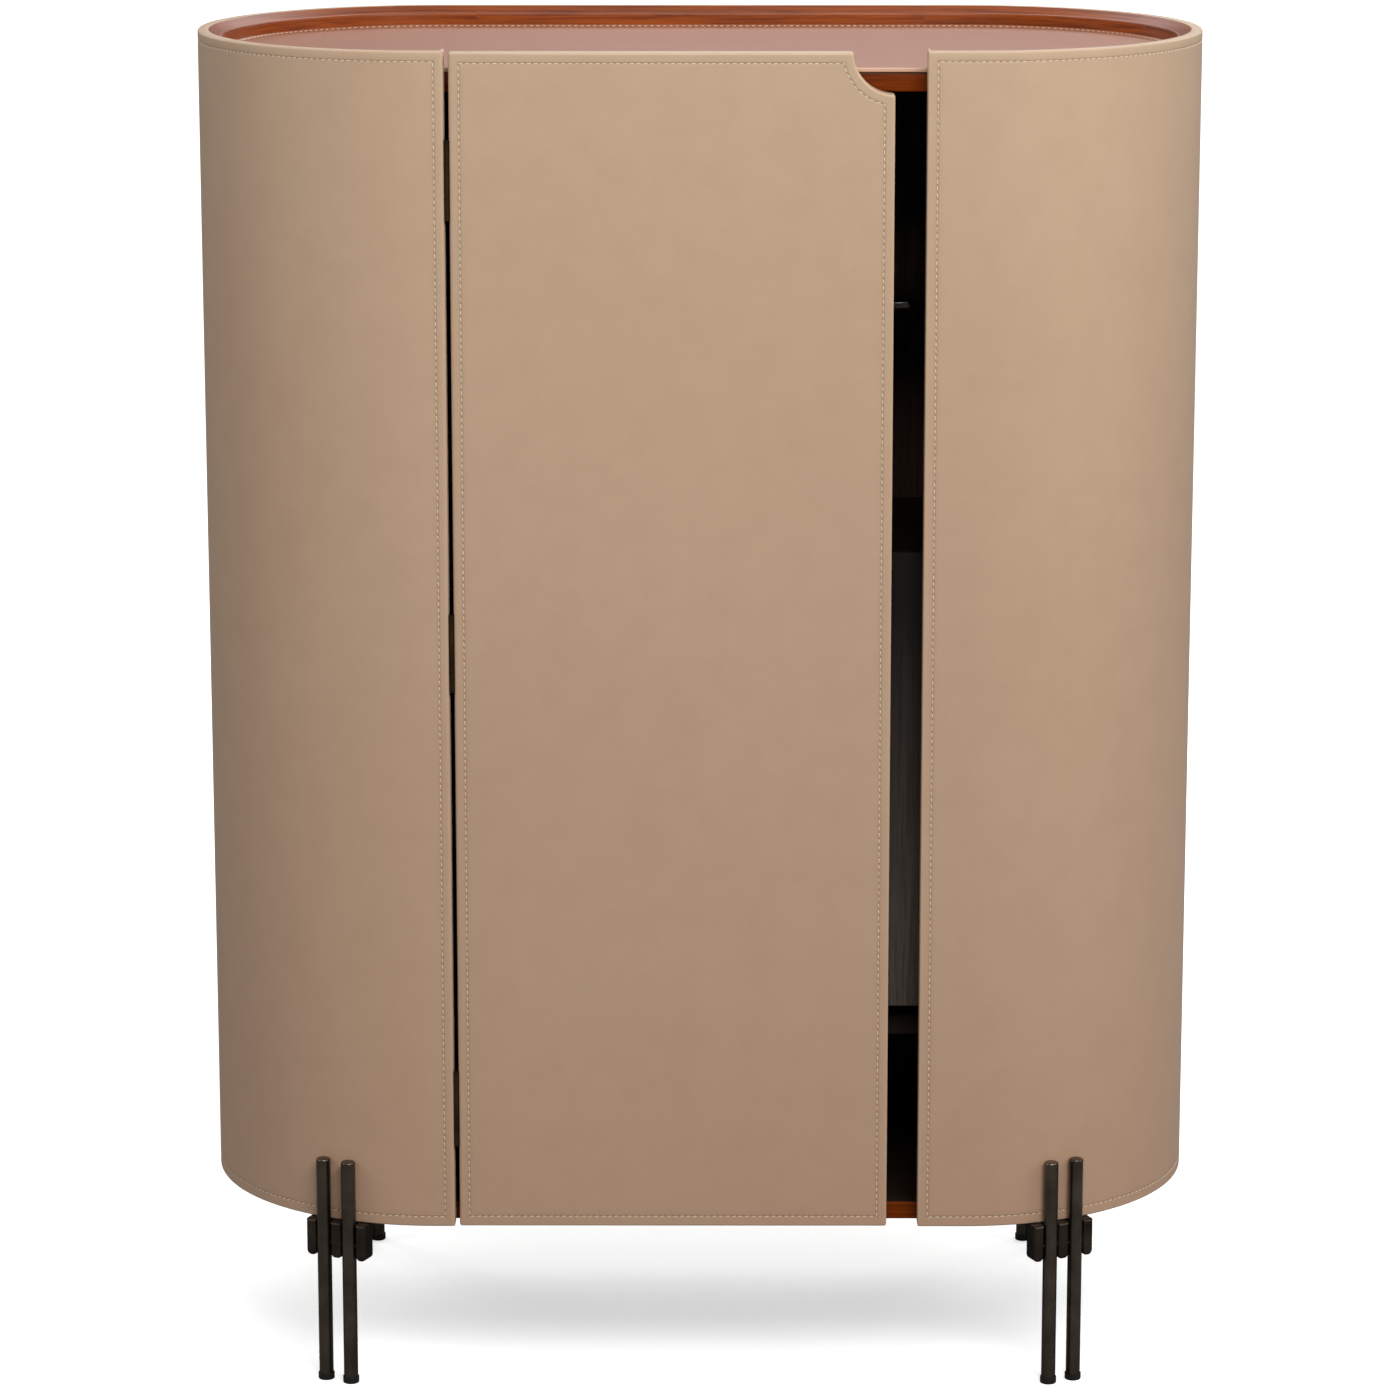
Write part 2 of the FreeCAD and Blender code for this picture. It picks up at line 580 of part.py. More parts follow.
def make_walls():
    """Shell boards, leather and rims, with the holes for pins, hinges and screws."""
    pin_holes = []
    for top, thickness, with_front in pinned_shelves():
        pin_holes += shelf_pins(shelf_pin_seats(top, thickness, with_front), PIN_FIT)
    for name, side in SIDES:
        places = [place for _, end in ENDS for place in rod_places(side, end)]
        screw_holes = [wall_screw(place, out, SCREW_FIT) for place, out in places]
        hinge_holes = []
        if side < 0:
            for mid in hinge_heights():
                hinge_holes += hinge_screws(mid, OPEN_LEFT + HINGE_PLATE, side, SCREW_FIT)
        open_x = reveal_x(side)
        board = on_side(board_right(open_x), side)
        save(name + "_shell_board", without(board, pin_holes + screw_holes + hinge_holes))
        leather = on_side(leather_right(open_x), side)
        save(name + "_shell_leather", without(leather, screw_holes + hinge_holes + hinge_pockets()))
        save(name + "_rim", on_side(rim_right(open_x), side))
    save("back_board", without(back_board(), pin_holes))
    save("back_leather", back_leather())
    save("back_rim", rim_back())


def pinned_shelves():
    """Top, thickness and whether pins stand near the front, for each shelf."""
    return ((MID_SHELF_TOP, SHELF_BOARD, True), (LOWER_SHELF_TOP, SHELF_BOARD, True),
            (GLASS_SHELF_TOP, GLASS_SHELF, False))


def make_boards():
    """Top, bottom and shelves."""
    save("top_board", plan_plate(INNER_R - JOINT, TOP_BOARD_Z, TOP_BOARD_TOP))
    save("top_leather", plan_plate(INNER_R - JOINT, TOP_BOARD_TOP, LEATHER_TOP_Z))
    bottom = plan_plate(INNER_R - JOINT, BODY_BOTTOM, BOTTOM_BOARD_TOP)
    screws = [screw for _, side in SIDES for _, end in ENDS for screw in flange_screws(side, end, SCREW_FIT)]
    save("bottom_board", without(bottom, screws))
    front_y = DOOR_BACK_Y + SHELF_SETBACK
    save("middle_shelf", shelf(MID_SHELF_TOP, SHELF_BOARD, front_y, JOINT))
    save("lower_shelf", shelf(LOWER_SHELF_TOP, SHELF_BOARD, front_y, JOINT))
    glass_front = INNER_R - GLASS_PLAY - GLASS_SHELF_DEPTH
    save("compartment_stile", stile())
    save("glass_shelf", shelf(GLASS_SHELF_TOP, GLASS_SHELF, glass_front, GLASS_PLAY))
    for name, (top, thickness, with_front) in zip(("middle", "lower", "glass"), pinned_shelves()):
        save(name + "_shelf_pins", shelf_pins(shelf_pin_seats(top, thickness, with_front)))


def make_door():
    """Door slab, its hinges, catch and bumpers."""
    hinge_holes, frame_screws, door_screws, pins = [], [], [], []
    for name, mid in zip(HINGES, hinge_heights()):
        lower, middle, upper = knuckle_limits(mid)
        frame_x = OPEN_LEFT + HINGE_PLATE
        door_x = DOOR_LEFT - HINGE_PLATE
        frame_leaf = hinge_leaf(mid, OPEN_LEFT, frame_x, (lower, upper))
        door_leaf = hinge_leaf(mid, door_x, DOOR_LEFT, (middle,))
        save(name + "_hinge_frame_leaf", without(frame_leaf, hinge_screws(mid, frame_x, -1, SCREW_FIT)))
        save(name + "_hinge_door_leaf", without(door_leaf, hinge_screws(mid, door_x, 1, SCREW_FIT)))
        hinge_holes += hinge_screws(mid, door_x, 1, SCREW_FIT)
        frame_screws += hinge_screws(mid, frame_x, -1)
        door_screws += hinge_screws(mid, door_x, 1)
        pins.append(hinge_pin(mid))
    save("door_hinge_pins", pins)
    save("hinge_frame_screws", frame_screws)
    save("hinge_door_screws", door_screws)
    flap_holes = []
    for mid in flap_middles():
        flap_holes += flap_screws(mid, DOOR_BACK_Y + FLAP_PLATE, -1, 1, SCREW_FIT)
    core = door_outline(LEATHER, LEATHER, FRONT_Y + LEATHER, LINING_Y)
    save("door_core", without(core, hinge_holes + flap_holes))
    save("door_leather", door_leather(hinge_holes + hinge_pockets()))
    lining = door_outline(LINING_INSET, LINING_INSET, LINING_Y, DOOR_BACK_Y)
    save("door_lining", without(lining, hinge_pockets() + flap_holes))
    make_catch()


def make_catch():
    """Magnetic catch under the top board, its strike plate on the door, and two rubber bumpers."""
    x = DOOR_RIGHT - CATCH_FROM_EDGE
    z = (TOP_BOARD_Z - CATCH_HEIGHT, TOP_BOARD_Z)
    half = CATCH_WIDTH / 2
    strike_y = DOOR_BACK_Y + STRIKE_PLATE
    catch_y = strike_y + CATCH_AIR
    save("magnetic_catch", block((x - half, x + half), (catch_y, catch_y + CATCH_DEPTH), z))
    strike_x = (x - half + STRIKE_INSET, x + half - STRIKE_INSET)
    save("strike_plate", block(strike_x, (DOOR_BACK_Y, strike_y), z))
    board_y = -(INNER_R - JOINT)
    length = board_y - DOOR_BACK_Y - BUMPER_AIR
    heights = ((TOP_BOARD_Z + TOP_BOARD_TOP) / 2, (BODY_BOTTOM + BOTTOM_BOARD_TOP) / 2)
    bumpers = [Part.makeCylinder(BUMPER_R, length, V(DOOR_RIGHT - offset, board_y, height), V(0, -1, 0))
               for offset, height in zip(BUMPER_FROM_EDGE, heights)]
    save("door_bumpers", bumpers)


def make_fold_out_shelf():
    """Leaf on the inside of the door, with two flap hinges."""
    door_screws, leaf_screws, pins, leaf_holes = [], [], [], []
    door_face = DOOR_BACK_Y + FLAP_PLATE
    leaf_face = DOOR_BACK_Y + FLAP_RUN
    for (name, _), mid in zip(SIDES, flap_middles()):
        first, middle, last = flap_knuckles(mid)
        upper = flap_plate(mid, DOOR_BACK_Y, 1, (first, last))
        lower = flap_plate(mid, leaf_face, -1, (middle,))
        save(name + "_flap_door_plate", without(upper, flap_screws(mid, door_face, -1, 1, SCREW_FIT)))
        save(name + "_flap_leaf_plate", without(lower, flap_screws(mid, leaf_face, 1, -1, SCREW_FIT)))
        leaf_holes += flap_screws(mid, leaf_face, 1, -1, SCREW_FIT)
        door_screws += flap_screws(mid, door_face, -1, 1)
        leaf_screws += flap_screws(mid, leaf_face, 1, -1)
        pins.append(flap_pin(mid))
    save("fold_out_shelf", without(leaf_board(), leaf_holes))
    save("flap_hinge_pins", pins)
    save("flap_door_screws", door_screws)
    save("flap_leaf_screws", leaf_screws)


def make_legs():
    """Four legs of two rods each, with brackets, pins, screws and glides."""
    glides, cross_pins, under_screws, inside_screws = [], [], [], []
    for side_name, side in SIDES:
        for end_name, end in ENDS:
            leg = end_name + "_" + side_name
            save(leg + "_bracket", bracket(side, end))
            cross_pins.append(cross_pin(side, end))
            under_screws += flange_screws(side, end)
            for rod_name, (place, out) in zip(("outer", "inner"), rod_places(side, end)):
                holes = [cross_pin(side, end, PIN_FIT), wall_screw(place, out, SCREW_FIT)]
                save(leg + "_" + rod_name + "_rod", rod(place, holes))
                glides.append(glide(place))
                inside_screws.append(wall_screw(place, out))
    save("leg_glides", glides)
    save("leg_cross_pins", cross_pins)
    save("bracket_screws", under_screws)
    save("rod_screws", inside_screws)


os.makedirs("parts", exist_ok=True)
make_walls()
make_boards()
make_door()
make_fold_out_shelf()
make_legs()
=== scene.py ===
"""Dresses a bar cabinet: hand-stitched saddle leather, bent walnut rims, veneered boards and bronze rod legs.

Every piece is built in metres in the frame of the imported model: X to the right, the door faces -Y, Z up.
"""

import math

import bpy
import numpy as np
from bpy.props import FloatProperty, PointerProperty, StringProperty
from bpy.types import Operator, Panel, PropertyGroup
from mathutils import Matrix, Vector


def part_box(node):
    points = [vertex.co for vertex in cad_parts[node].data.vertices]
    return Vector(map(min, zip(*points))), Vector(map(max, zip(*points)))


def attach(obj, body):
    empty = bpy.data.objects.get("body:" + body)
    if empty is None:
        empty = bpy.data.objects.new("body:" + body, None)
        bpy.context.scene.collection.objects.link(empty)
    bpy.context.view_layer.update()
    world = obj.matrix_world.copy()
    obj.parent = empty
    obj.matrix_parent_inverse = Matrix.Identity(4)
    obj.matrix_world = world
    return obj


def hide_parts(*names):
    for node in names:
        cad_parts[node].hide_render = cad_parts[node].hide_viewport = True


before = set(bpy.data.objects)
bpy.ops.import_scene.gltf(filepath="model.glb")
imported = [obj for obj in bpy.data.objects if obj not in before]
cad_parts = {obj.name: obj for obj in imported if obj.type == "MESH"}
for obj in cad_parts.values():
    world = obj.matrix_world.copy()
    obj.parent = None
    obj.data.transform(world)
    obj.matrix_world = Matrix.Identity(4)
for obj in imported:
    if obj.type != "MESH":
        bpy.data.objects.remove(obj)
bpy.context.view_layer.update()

bl_info = {
    "name": "Leather Bar Cabinet",
    "version": (1, 0, 0),
    "blender": (4, 5, 0),
    "location": "3D View > Sidebar > Cabinet",
    "description": "Stitched leather, wooden rims, boards and finishes of a bar cabinet with round ends",
    "category": "Add Mesh",
}

MM = 0.001
SHARP = math.radians(38)                                # faces that meet at more than this keep their edge
END_STEPS = 73                                          # columns of leather round an end
FOLD_STEPS = 7                                          # columns or rows round a fold
REVEAL = np.array([0.0, 0.25, 0.5, 0.74, 0.81, 0.87, 0.93])     # columns from a wall's inside to its fold
NEAR_SEAM = np.array([-1.9, -1.2, -0.8, -0.4, 0.0, 0.4, 0.8, 1.2, 1.9]) * MM    # columns across a groove
BACK_TAIL = np.array([1.6, 1.0, 0.5, 0.1]) * MM         # a wall's last columns before the seam with the back
BACK_DIVE = np.array([0.05, 0.2, 0.5, 1.1]) * MM        # and how far each of them is drawn in
GROOVE = 0.75 * MM                                      # a groove grows shallow over this distance
SHADED = 1.3 * MM                                       # painted shade darkens the leather along it over this one
WEAR_AND_HIGHLIGHT_WIDTH = 2.2 * MM                                       # the leather at a fold is paler, from wear and a painted highlight, over this one
PLAY = 0.1 * MM                                         # between a board and the wall round it


# Sizes read from the solids

def limits(node, axis):
    """Lowest and highest coordinate of a node along one axis."""
    low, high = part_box(node)
    return low[axis], high[axis]


OPEN_RIGHT, BODY_END = limits("right_shell_leather", 0)
BACK_HALF = limits("back_leather", 0)[1]                # half of the back panel
END_R = limits("right_shell_leather", 1)[1]             # radius of the round ends
BODY_LOW, BODY_TOP = limits("right_shell_leather", 2)
END_X = BODY_END - END_R                                # centre of a round end
INSIDE_R = limits("top_board", 1)[1]
WALL = END_R - INSIDE_R
RIM_OUT = END_R - limits("right_rim", 1)[1]             # width of the leather lip round the rim
RIM_LOW, RIM_TOP = limits("right_rim", 2)
TRAY_LOW, TRAY_TOP = limits("top_leather", 2)
DOOR_X = limits("door_leather", 0)
DOOR_Z = limits("door_leather", 2)
DOOR_FRONT = -limits("door_leather", 1)[0]
LINING_FRONT, DOOR_REAR = (-y for y in limits("door_lining", 1))
HINGE_X = sum(limits("door_hinge_pins", 0)) / 2
HINGE_Y = sum(limits("door_hinge_pins", 1)) / 2
OPEN_LEFT = 2 * HINGE_X - DOOR_X[0]                     # the hinges stand midway between left wall and door
HINGE_Z = [limits(name + "_hinge_frame_leaf", 2) for name in ("lower", "middle", "upper")]
HINGE_STEP = MM / 3                                     # height in which a hinge's pocket ends
HINGE_ROWS = np.array([z for low, high in HINGE_Z for z in (low, low + HINGE_STEP, high - HINGE_STEP, high)])
LEATHER = 2.5 * MM
FOLD = 1.6 * MM                                         # rounding where leather turns over an edge
HINGE_FOLD = 3.5 * MM                                   # the same on both sides of the hinges
DOOR_CORNER = 2.2 * MM                                  # corners of the door's outline
NOTCH_R = 36.0 * MM                                     # finger notch of the door
POCKET_R = 2.7 * MM                                     # room for a hinge knuckle
RIM_FALL = 6.0 * MM                                     # fall of the rim's top towards the middle
LEAST_R = 0.2 * MM                                      # smallest arc of a wall's inner rings


class LeatherSettings(PropertyGroup):
    """Leather and thread."""
    body_colour: StringProperty(name="Body leather", description="Saddle leather, sandy tone",
                                default="#C3A88B")
    rosy_colour: StringProperty(name="Rosy tone", description="Saddle leather, rosy tone", default="#BC967C")
    tray_colour: StringProperty(name="Top leather", description="Leather inlaid in the top",
                                default="#A05F3B")
    lining_colour: StringProperty(name="Lining", description="Leather inside the door", default="#482A1C")
    thread_colour: StringProperty(name="Thread", description="Waxed linen thread", default="#E6D4B8")
    seam_inset: FloatProperty(name="Seam inset", description="From a panel's edge to its row of stitches",
                              default=9.0 * MM, min=0.004, max=0.02, unit="LENGTH")
    stitch_pitch: FloatProperty(name="Stitch pitch", description="From one stitch to the next",
                                default=5.9 * MM, min=0.003, max=0.02, unit="LENGTH")
    thread_width: FloatProperty(name="Thread width", description="Width of the flattened thread",
                                default=1.0 * MM, min=0.0004, max=0.003, unit="LENGTH")
    groove_depth: FloatProperty(name="Groove depth", description="How deep a row of stitches lies",
                                default=0.45 * MM, min=0.0, max=0.0015, unit="LENGTH")


class WoodSettings(PropertyGroup):
    """Solid rims and veneered boards."""
    rim_colour: StringProperty(name="Rim", description="Polished walnut of the rim", default="#8E420D")
    rim_dark: StringProperty(name="Rim grain", description="Dark grain lines of the rim", default="#561B04")
    inside_colour: StringProperty(name="Inside", description="Stained veneer of the inside",
                                  default="#523423")
    inside_dark: StringProperty(name="Inside grain", description="Dark grain of the inside",
                                default="#2E1B11")
    edge_round: FloatProperty(name="Edge rounding", description="Eased edge of boards and rims",
                              default=1.0 * MM, min=0.0002, max=0.003, unit="LENGTH")


class StageSettings(PropertyGroup):
    """Camera, floor and lamps."""
    lens: FloatProperty(name="Lens", description="Focal length in millimetres", default=137.2)
    distance: FloatProperty(name="Distance", description="Camera to the body's middle, level",
                            default=4.8, unit="LENGTH")
    height: FloatProperty(name="Height", description="Camera above the floor", default=1.69, unit="LENGTH")
    turn: FloatProperty(name="Turn", description="Camera to the right of the middle",
                        default=math.radians(0.1), subtype="ANGLE")
    tilt: FloatProperty(name="Tilt", description="Camera looks down by", default=math.radians(12.9),
                        subtype="ANGLE")
    key: FloatProperty(name="Key lamp", description="Power of the large lamp in front", default=96.0)
    world: FloatProperty(name="World", description="Strength of the light from all round", default=0.32)


def settings(kind):
    return getattr(bpy.context.scene, "cabinet_" + kind)


# Meshes

def link(name, data):
    """Put a mesh, lamp or camera into the scene as an object of its own."""
    made = bpy.data.objects.new(name, data)
    bpy.context.scene.collection.objects.link(made)
    return made


def surface(name, points, uv=None, closed=False, capped=False, flip=False, values=None):
    """Object of quads over a grid of points (rows, columns, 3); rows run along the second parameter.

    closed joins the last column to the first, capped fills the first and last row with a flat face.
    values holds one number per point for each named attribute.
    """
    rows, cols = points.shape[:2]
    index = np.arange(rows * cols).reshape(rows, cols)
    right = np.roll(index, -1, axis=1)
    last = cols if closed else cols - 1
    quads = np.stack([index[:-1, :last], right[:-1, :last], right[1:, :last], index[1:, :last]], -1)
    faces = quads.reshape(-1, 4).tolist()
    if capped:
        faces.append(index[0, ::-1].tolist())
        faces.append(index[-1].tolist())
    if flip:
        faces = [face[::-1] for face in faces]
    mesh = bpy.data.meshes.new(name)
    mesh.from_pydata(points.reshape(-1, 3).tolist(), [], faces)
    if uv is not None:
        flat = uv.reshape(-1, 2)
        corners = np.zeros(len(mesh.loops), np.int32)
        mesh.loops.foreach_get("vertex_index", corners)
        mesh.uv_layers.new(name="UVMap").data.foreach_set("uv", flat[corners].ravel())
    for key, numbers in (values or {}).items():
        layer = mesh.attributes.new(key, "FLOAT", "POINT")
        layer.data.foreach_set("value", np.ascontiguousarray(numbers, np.float32).ravel())
    mesh.shade_smooth()
    mesh.set_sharp_from_angle(angle=SHARP)
    mesh.update()
    return link(name, mesh)


def arc(start, end, steps):
    """Angles in radians from one angle in degrees to another."""
    return np.radians(np.linspace(start, end, steps))


def pairs(a, b):
    """Pairs of two rows of numbers, or of a row and one number."""
    return np.stack(np.broadcast_arrays(a, b), -1)


def quarter(radius, steps=FOLD_STEPS):
    """Quarter round from a wall (inset 0) to a face, as (inset, distance below the face)."""
    a = arc(0, 90, steps)
    return pairs(radius * (1 - np.cos(a)), radius * (1 - np.sin(a)))


def hung(rows, face, side=-1):
    """Rows of (inset, distance from a face) as (inset, height), below the face or with side 1 above it."""
    return rows * (1, side) + (0, face)


def corner(centre, radius, start, end, steps=FOLD_STEPS):
    """Points of an arc round a centre, between two angles in degrees."""
    a = arc(start, end, steps)
    return pairs(centre[0] + radius * np.cos(a), centre[1] + radius * np.sin(a))


def stadium(inset, steps=64):
    """Plan of the room between the walls brought in by an inset: two half circles joined by straight runs."""
    radius = END_R - WALL - PLAY - inset
    return np.concatenate([corner((END_X, 0), radius, -90, 90, steps),
                           corner((-END_X, 0), radius, 90, 270, steps)])


def travel(points):
    """Distance along a line from its first point to each of its points."""
    return np.concatenate([[0], np.cumsum(np.linalg.norm(np.diff(points, axis=0), axis=1))])


def between(a, b, steps):
    """Points strictly between two points."""
    t = np.linspace(0, 1, steps + 2)[1:-1, None]
    return np.asarray(a) * (1 - t) + np.asarray(b) * t


def door_outline(inset, margin=0.0):
    """Door seen from the front: a rectangle less a quarter circle round its upper right corner.

    Each corner is an arc that shrinks with the inset; the notch's arc grows with it. Its two tips are
    fillets that touch the straight edge and the circle.
    """
    e = inset + margin
    r = max(DOOR_CORNER - inset, 0.25 * MM)
    x0, x1 = DOOR_X[0] + e, DOOR_X[1] - e
    z0, z1 = DOOR_Z[0] + e, DOOR_Z[1] - e
    big = NOTCH_R + e
    reach = math.sqrt((big + r) ** 2 - (e + r) ** 2)
    side = (DOOR_X[1] - e - r, DOOR_Z[1] - reach)
    top = (DOOR_X[1] - reach, DOOR_Z[1] - e - r)
    low_turn = math.degrees(math.atan2(reach, e + r))
    return np.concatenate([
        corner((x0 + r, z0 + r), r, 180, 270),
        between((x0 + r, z0), (x1 - r, z0), 3),
        corner((x1 - r, z0 + r), r, 270, 360),
        between((x1, z0 + r), (x1, side[1]), 8),
        corner(side, r, 0, low_turn),
        corner((DOOR_X[1], DOOR_Z[1]), big, 180 + low_turn, 270 - low_turn, 20)[1:-1],
        corner(top, r, 90 - low_turn, 90),
        between((top[0], z1), (x0 + r, z1), 3),
        corner((x0 + r, z1 - r), r, 90, 180),
        pairs(x0, HINGE_ROWS[::-1])])


def bell(distance, width):
    """Bell curve: 1 at no distance, falling off over a width on both sides."""
    return np.exp(-(distance / width) ** 2)


def seam_rows(start, seam, depth, reach):
    """Rows of a flat face across a stitched groove and on by a reach, as (inset, distance below the face).

    The groove is a bell curve of the distance from the row of stitches.
    """
    near = seam + NEAR_SEAM
    inset = np.concatenate([[start, (start + near[0]) / 2], near, [seam + reach]])
    return pairs(inset, depth * bell(inset - seam, GROOVE))


def slab(name, family, profile, place, seam=None, wear_and_highlight=WEAR_AND_HIGHLIGHT_WIDTH):
    """Closed solid: rows of a profile (inset, height), each row the outline of that inset.

    family(inset) gives the outline as (a, b) pairs; place(a, b, height) turns them into X, Y, Z.
    """
    points = pressed(np.stack([place(*family(inset).T, height) for inset, height in profile]))
    values = None
    if seam is not None:
        inset = np.repeat(profile[:, :1], points.shape[1], 1)
        # Masks: painted shade along the row of stitches, and a paler fold from wear and a painted highlight.
        values = {"seam": bell(inset - seam, SHADED), "edge": bell(inset, wear_and_highlight)}
    return surface(name, points, closed=True, capped=True, values=values)


def pressed(points):
    """Leather at the hinges: both upright edges are rounded so that the door swings clear of the wall, and
    points nearer to a knuckle's axis than the pocket's radius move out to it."""
    out = points.copy()
    for side, edge in ((1, OPEN_LEFT), (-1, DOOR_X[0])):
        centre = np.array([edge - side * HINGE_FOLD, HINGE_FOLD - DOOR_FRONT])
        across = out[..., :2] - centre
        away = np.linalg.norm(across, axis=-1)
        reach = across[..., 0] * side
        outside = (reach > 0) & (reach < 1.01 * HINGE_FOLD) & (across[..., 1] < 0) & (away > HINGE_FOLD)
        out[outside, :2] = centre + across[outside] * (HINGE_FOLD / away[outside])[:, None]
    across = out[..., :2] - np.array([HINGE_X, HINGE_Y])
    away = np.linalg.norm(across, axis=-1)
    at_hinge = np.zeros(away.shape, bool)
    for low, high in HINGE_Z:
        at_hinge |= (out[..., 2] > low - HINGE_STEP / 2) & (out[..., 2] < high + HINGE_STEP / 2)
    inside = at_hinge & (away < POCKET_R) & (away > 0)
    out[inside, :2] += across[inside] * (POCKET_R / away[inside] - 1)[:, None]
    return out


def flat_place(a, b, height):
    """Outline in plan, height upwards."""
    return np.stack(np.broadcast_arrays(a, b, height), -1)


def front_place(a, b, height):
    """Outline seen from the front, height towards the viewer."""
    return np.stack(np.broadcast_arrays(a, -height, b), -1)


def eased(low, high, radius):
    """Profile of a board with rounded edges."""
    q = quarter(radius, 5)
    return np.concatenate([hung(q[::-1], low, 1), hung(q, high)])


# Leather walls. A plan gives the points of a ring; its columns give each point's outward normal, its distance
# from the nearest upright edge and how far it is drawn in.

def seam_columns():
    """Distances from an upright edge of the columns on both sides of a row of stitches."""
    near = settings("leather").seam_inset + NEAR_SEAM
    return np.concatenate([np.array([2.4, 3.5, 5.0]) * MM, near, [14 * MM, 19 * MM]])


def shell_plan(opening):
    """Plan of the right wall whose opening's edge stands at a distance from the middle.

    Gives a function of the inset, counter-clockwise from inside the opening: the reveal, the fold's arc, the
    front, the half circle and the back run, each with the same number of points for every inset. low_side
    is how far the reveal's face comes in.
    """
    def plan(inset, low_side):
        straight = seam_columns()
        r = max(FOLD - inset, LEAST_R)
        xr, yf = opening + min(inset, low_side), -END_R + inset
        reveal_y = -END_R + WALL + REVEAL * (yf + r + END_R - WALL)
        return np.concatenate([
            pairs(xr, reveal_y),
            corner((xr + r, yf + r), r, 180, 270),
            pairs(np.maximum(opening + straight, xr + r + 0.01 * MM), yf),
            corner((END_X, 0), END_R - inset, -90, 90, END_STEPS),
            pairs(BACK_HALF + np.concatenate([straight[::-1], BACK_TAIL]), END_R - inset)])
    return plan


def shell_normals(opening):
    """Columns of a plan of shell_plan, run by run as there."""
    straight = seam_columns()
    turn = arc(-90, 90, END_STEPS)
    normal = np.concatenate([
        np.tile([-1.0, 0.0], (len(REVEAL), 1)),
        corner((0, 0), 1, 180, 270),
        np.tile([0.0, -1.0], (len(straight), 1)),
        corner((0, 0), 1, -90, 90, END_STEPS),
        np.tile([0.0, 1.0], (len(straight) + len(BACK_TAIL), 1))])
    from_front = END_X - opening + END_R * (turn + math.pi / 2)
    from_back = END_X - BACK_HALF + END_R * (math.pi / 2 - turn)
    across = np.concatenate([REVEAL * (WALL - FOLD) - WALL, quarter(FOLD)[:, 0], straight,
                             np.minimum(from_front, from_back), straight[::-1], BACK_TAIL])
    dip = np.concatenate([np.zeros(len(across) - len(BACK_DIVE)), BACK_DIVE])
    return normal, across, dip


def back_plan(inset, low_side):
    """Plan of the flat back from its right seam to its left one. It has no opening, so no low_side."""
    return pairs(back_columns(), END_R - inset)


def back_columns():
    """Places along X of the back's points, close together at both seams."""
    straight = np.concatenate([np.array([0.0, 0.4, 0.9, 1.5]) * MM, seam_columns()])
    middle = np.linspace(BACK_HALF - 40 * MM, -BACK_HALF + 40 * MM, 8)
    return np.concatenate([BACK_HALF - straight, middle, straight[::-1] - BACK_HALF])


def back_normals():
    """Columns of back_plan: the leather is drawn in towards both seams."""
    across = BACK_HALF - np.abs(back_columns())
    normal = np.tile([0.0, 1.0], (len(across), 1))
    dip = np.interp(across, np.array([0.0, 0.5, 1.0, 1.6]) * MM, np.array([1.1, 0.45, 0.15, 0.0]) * MM)
    return normal, across, dip


def clad_wall(name, plan, columns, left=False):
    """Leather round a wall: turned under its foot, up the outside with a groove along each row of stitches,
    and over the top as far as the rim.

    Rows follow (inset, height): under the foot, round its edge, up the face, round the upper edge, and over
    to the rim, where the leather dives in. A point of the outside is the plan's point moved inwards along its
    normal by the depth of the groove, a bell curve of the distance from the row of stitches.
    """
    leather = settings("leather")
    seam, depth = leather.seam_inset, leather.groove_depth
    normal, across, dip = columns
    q = quarter(FOLD)
    edge_rows = np.concatenate([[5 * MM], seam + NEAR_SEAM, [16 * MM]])
    plain = np.linspace(BODY_LOW + 60 * MM, BODY_TOP - 60 * MM, 16)
    face = np.sort(np.concatenate([BODY_LOW + edge_rows, BODY_TOP - edge_rows, plain, HINGE_ROWS]))
    rows = np.concatenate([
        pairs([WALL, 12 * MM, 6 * MM], BODY_LOW),
        hung(q[::-1], BODY_LOW, 1),
        pairs(0.0, face),
        hung(q, BODY_TOP),
        [(6 * MM, BODY_TOP), (RIM_OUT - 0.5 * MM, BODY_TOP), (RIM_OUT - 0.12 * MM, BODY_TOP - 0.25 * MM),
         (RIM_OUT - 0.05 * MM, BODY_TOP - 1.5 * MM)]])
    points, painted_groove_shade, wear_and_highlight_masks = [], [], []
    for inset, z in rows:
        low_side = FOLD if z < (BODY_LOW + BODY_TOP) / 2 else LEATHER
        level = min(z - BODY_LOW, BODY_TOP - z)
        distance = np.minimum(across, level) if inset == 0.0 else np.full(len(across), -inset)
        drawn = depth * bell(distance - seam, GROOVE) + dip
        ring = plan(inset, low_side) - normal * drawn[:, None]
        points.append(flat_place(*ring.T, z))
        # Masks for the painted shade along each row of stitches and for the paler fold, from wear and a
        # painted highlight.
        painted_groove_shade.append(bell(distance - seam, SHADED))
        wear_and_highlight_masks.append(bell(distance, WEAR_AND_HIGHLIGHT_WIDTH))
    points = np.stack(points)
    if left:
        points = pressed(points * np.array([-1, 1, 1]))
    return surface(name, points, flip=left, values={"seam": np.stack(painted_groove_shade), "edge": np.stack(wear_and_highlight_masks)})


# Stitches

RING = 6                    # corners of a thread's rings
STITCH_SHARE = 0.76         # of the pitch that shows as thread
THREAD_FLAT = 0.62          # height of the thread as a share of its width
THREAD_SUNK = 0.25          # of the thread's width below the groove's bottom
SLANT = (0.10, 0.03)        # mean and spread of a stitch's slant, in radians


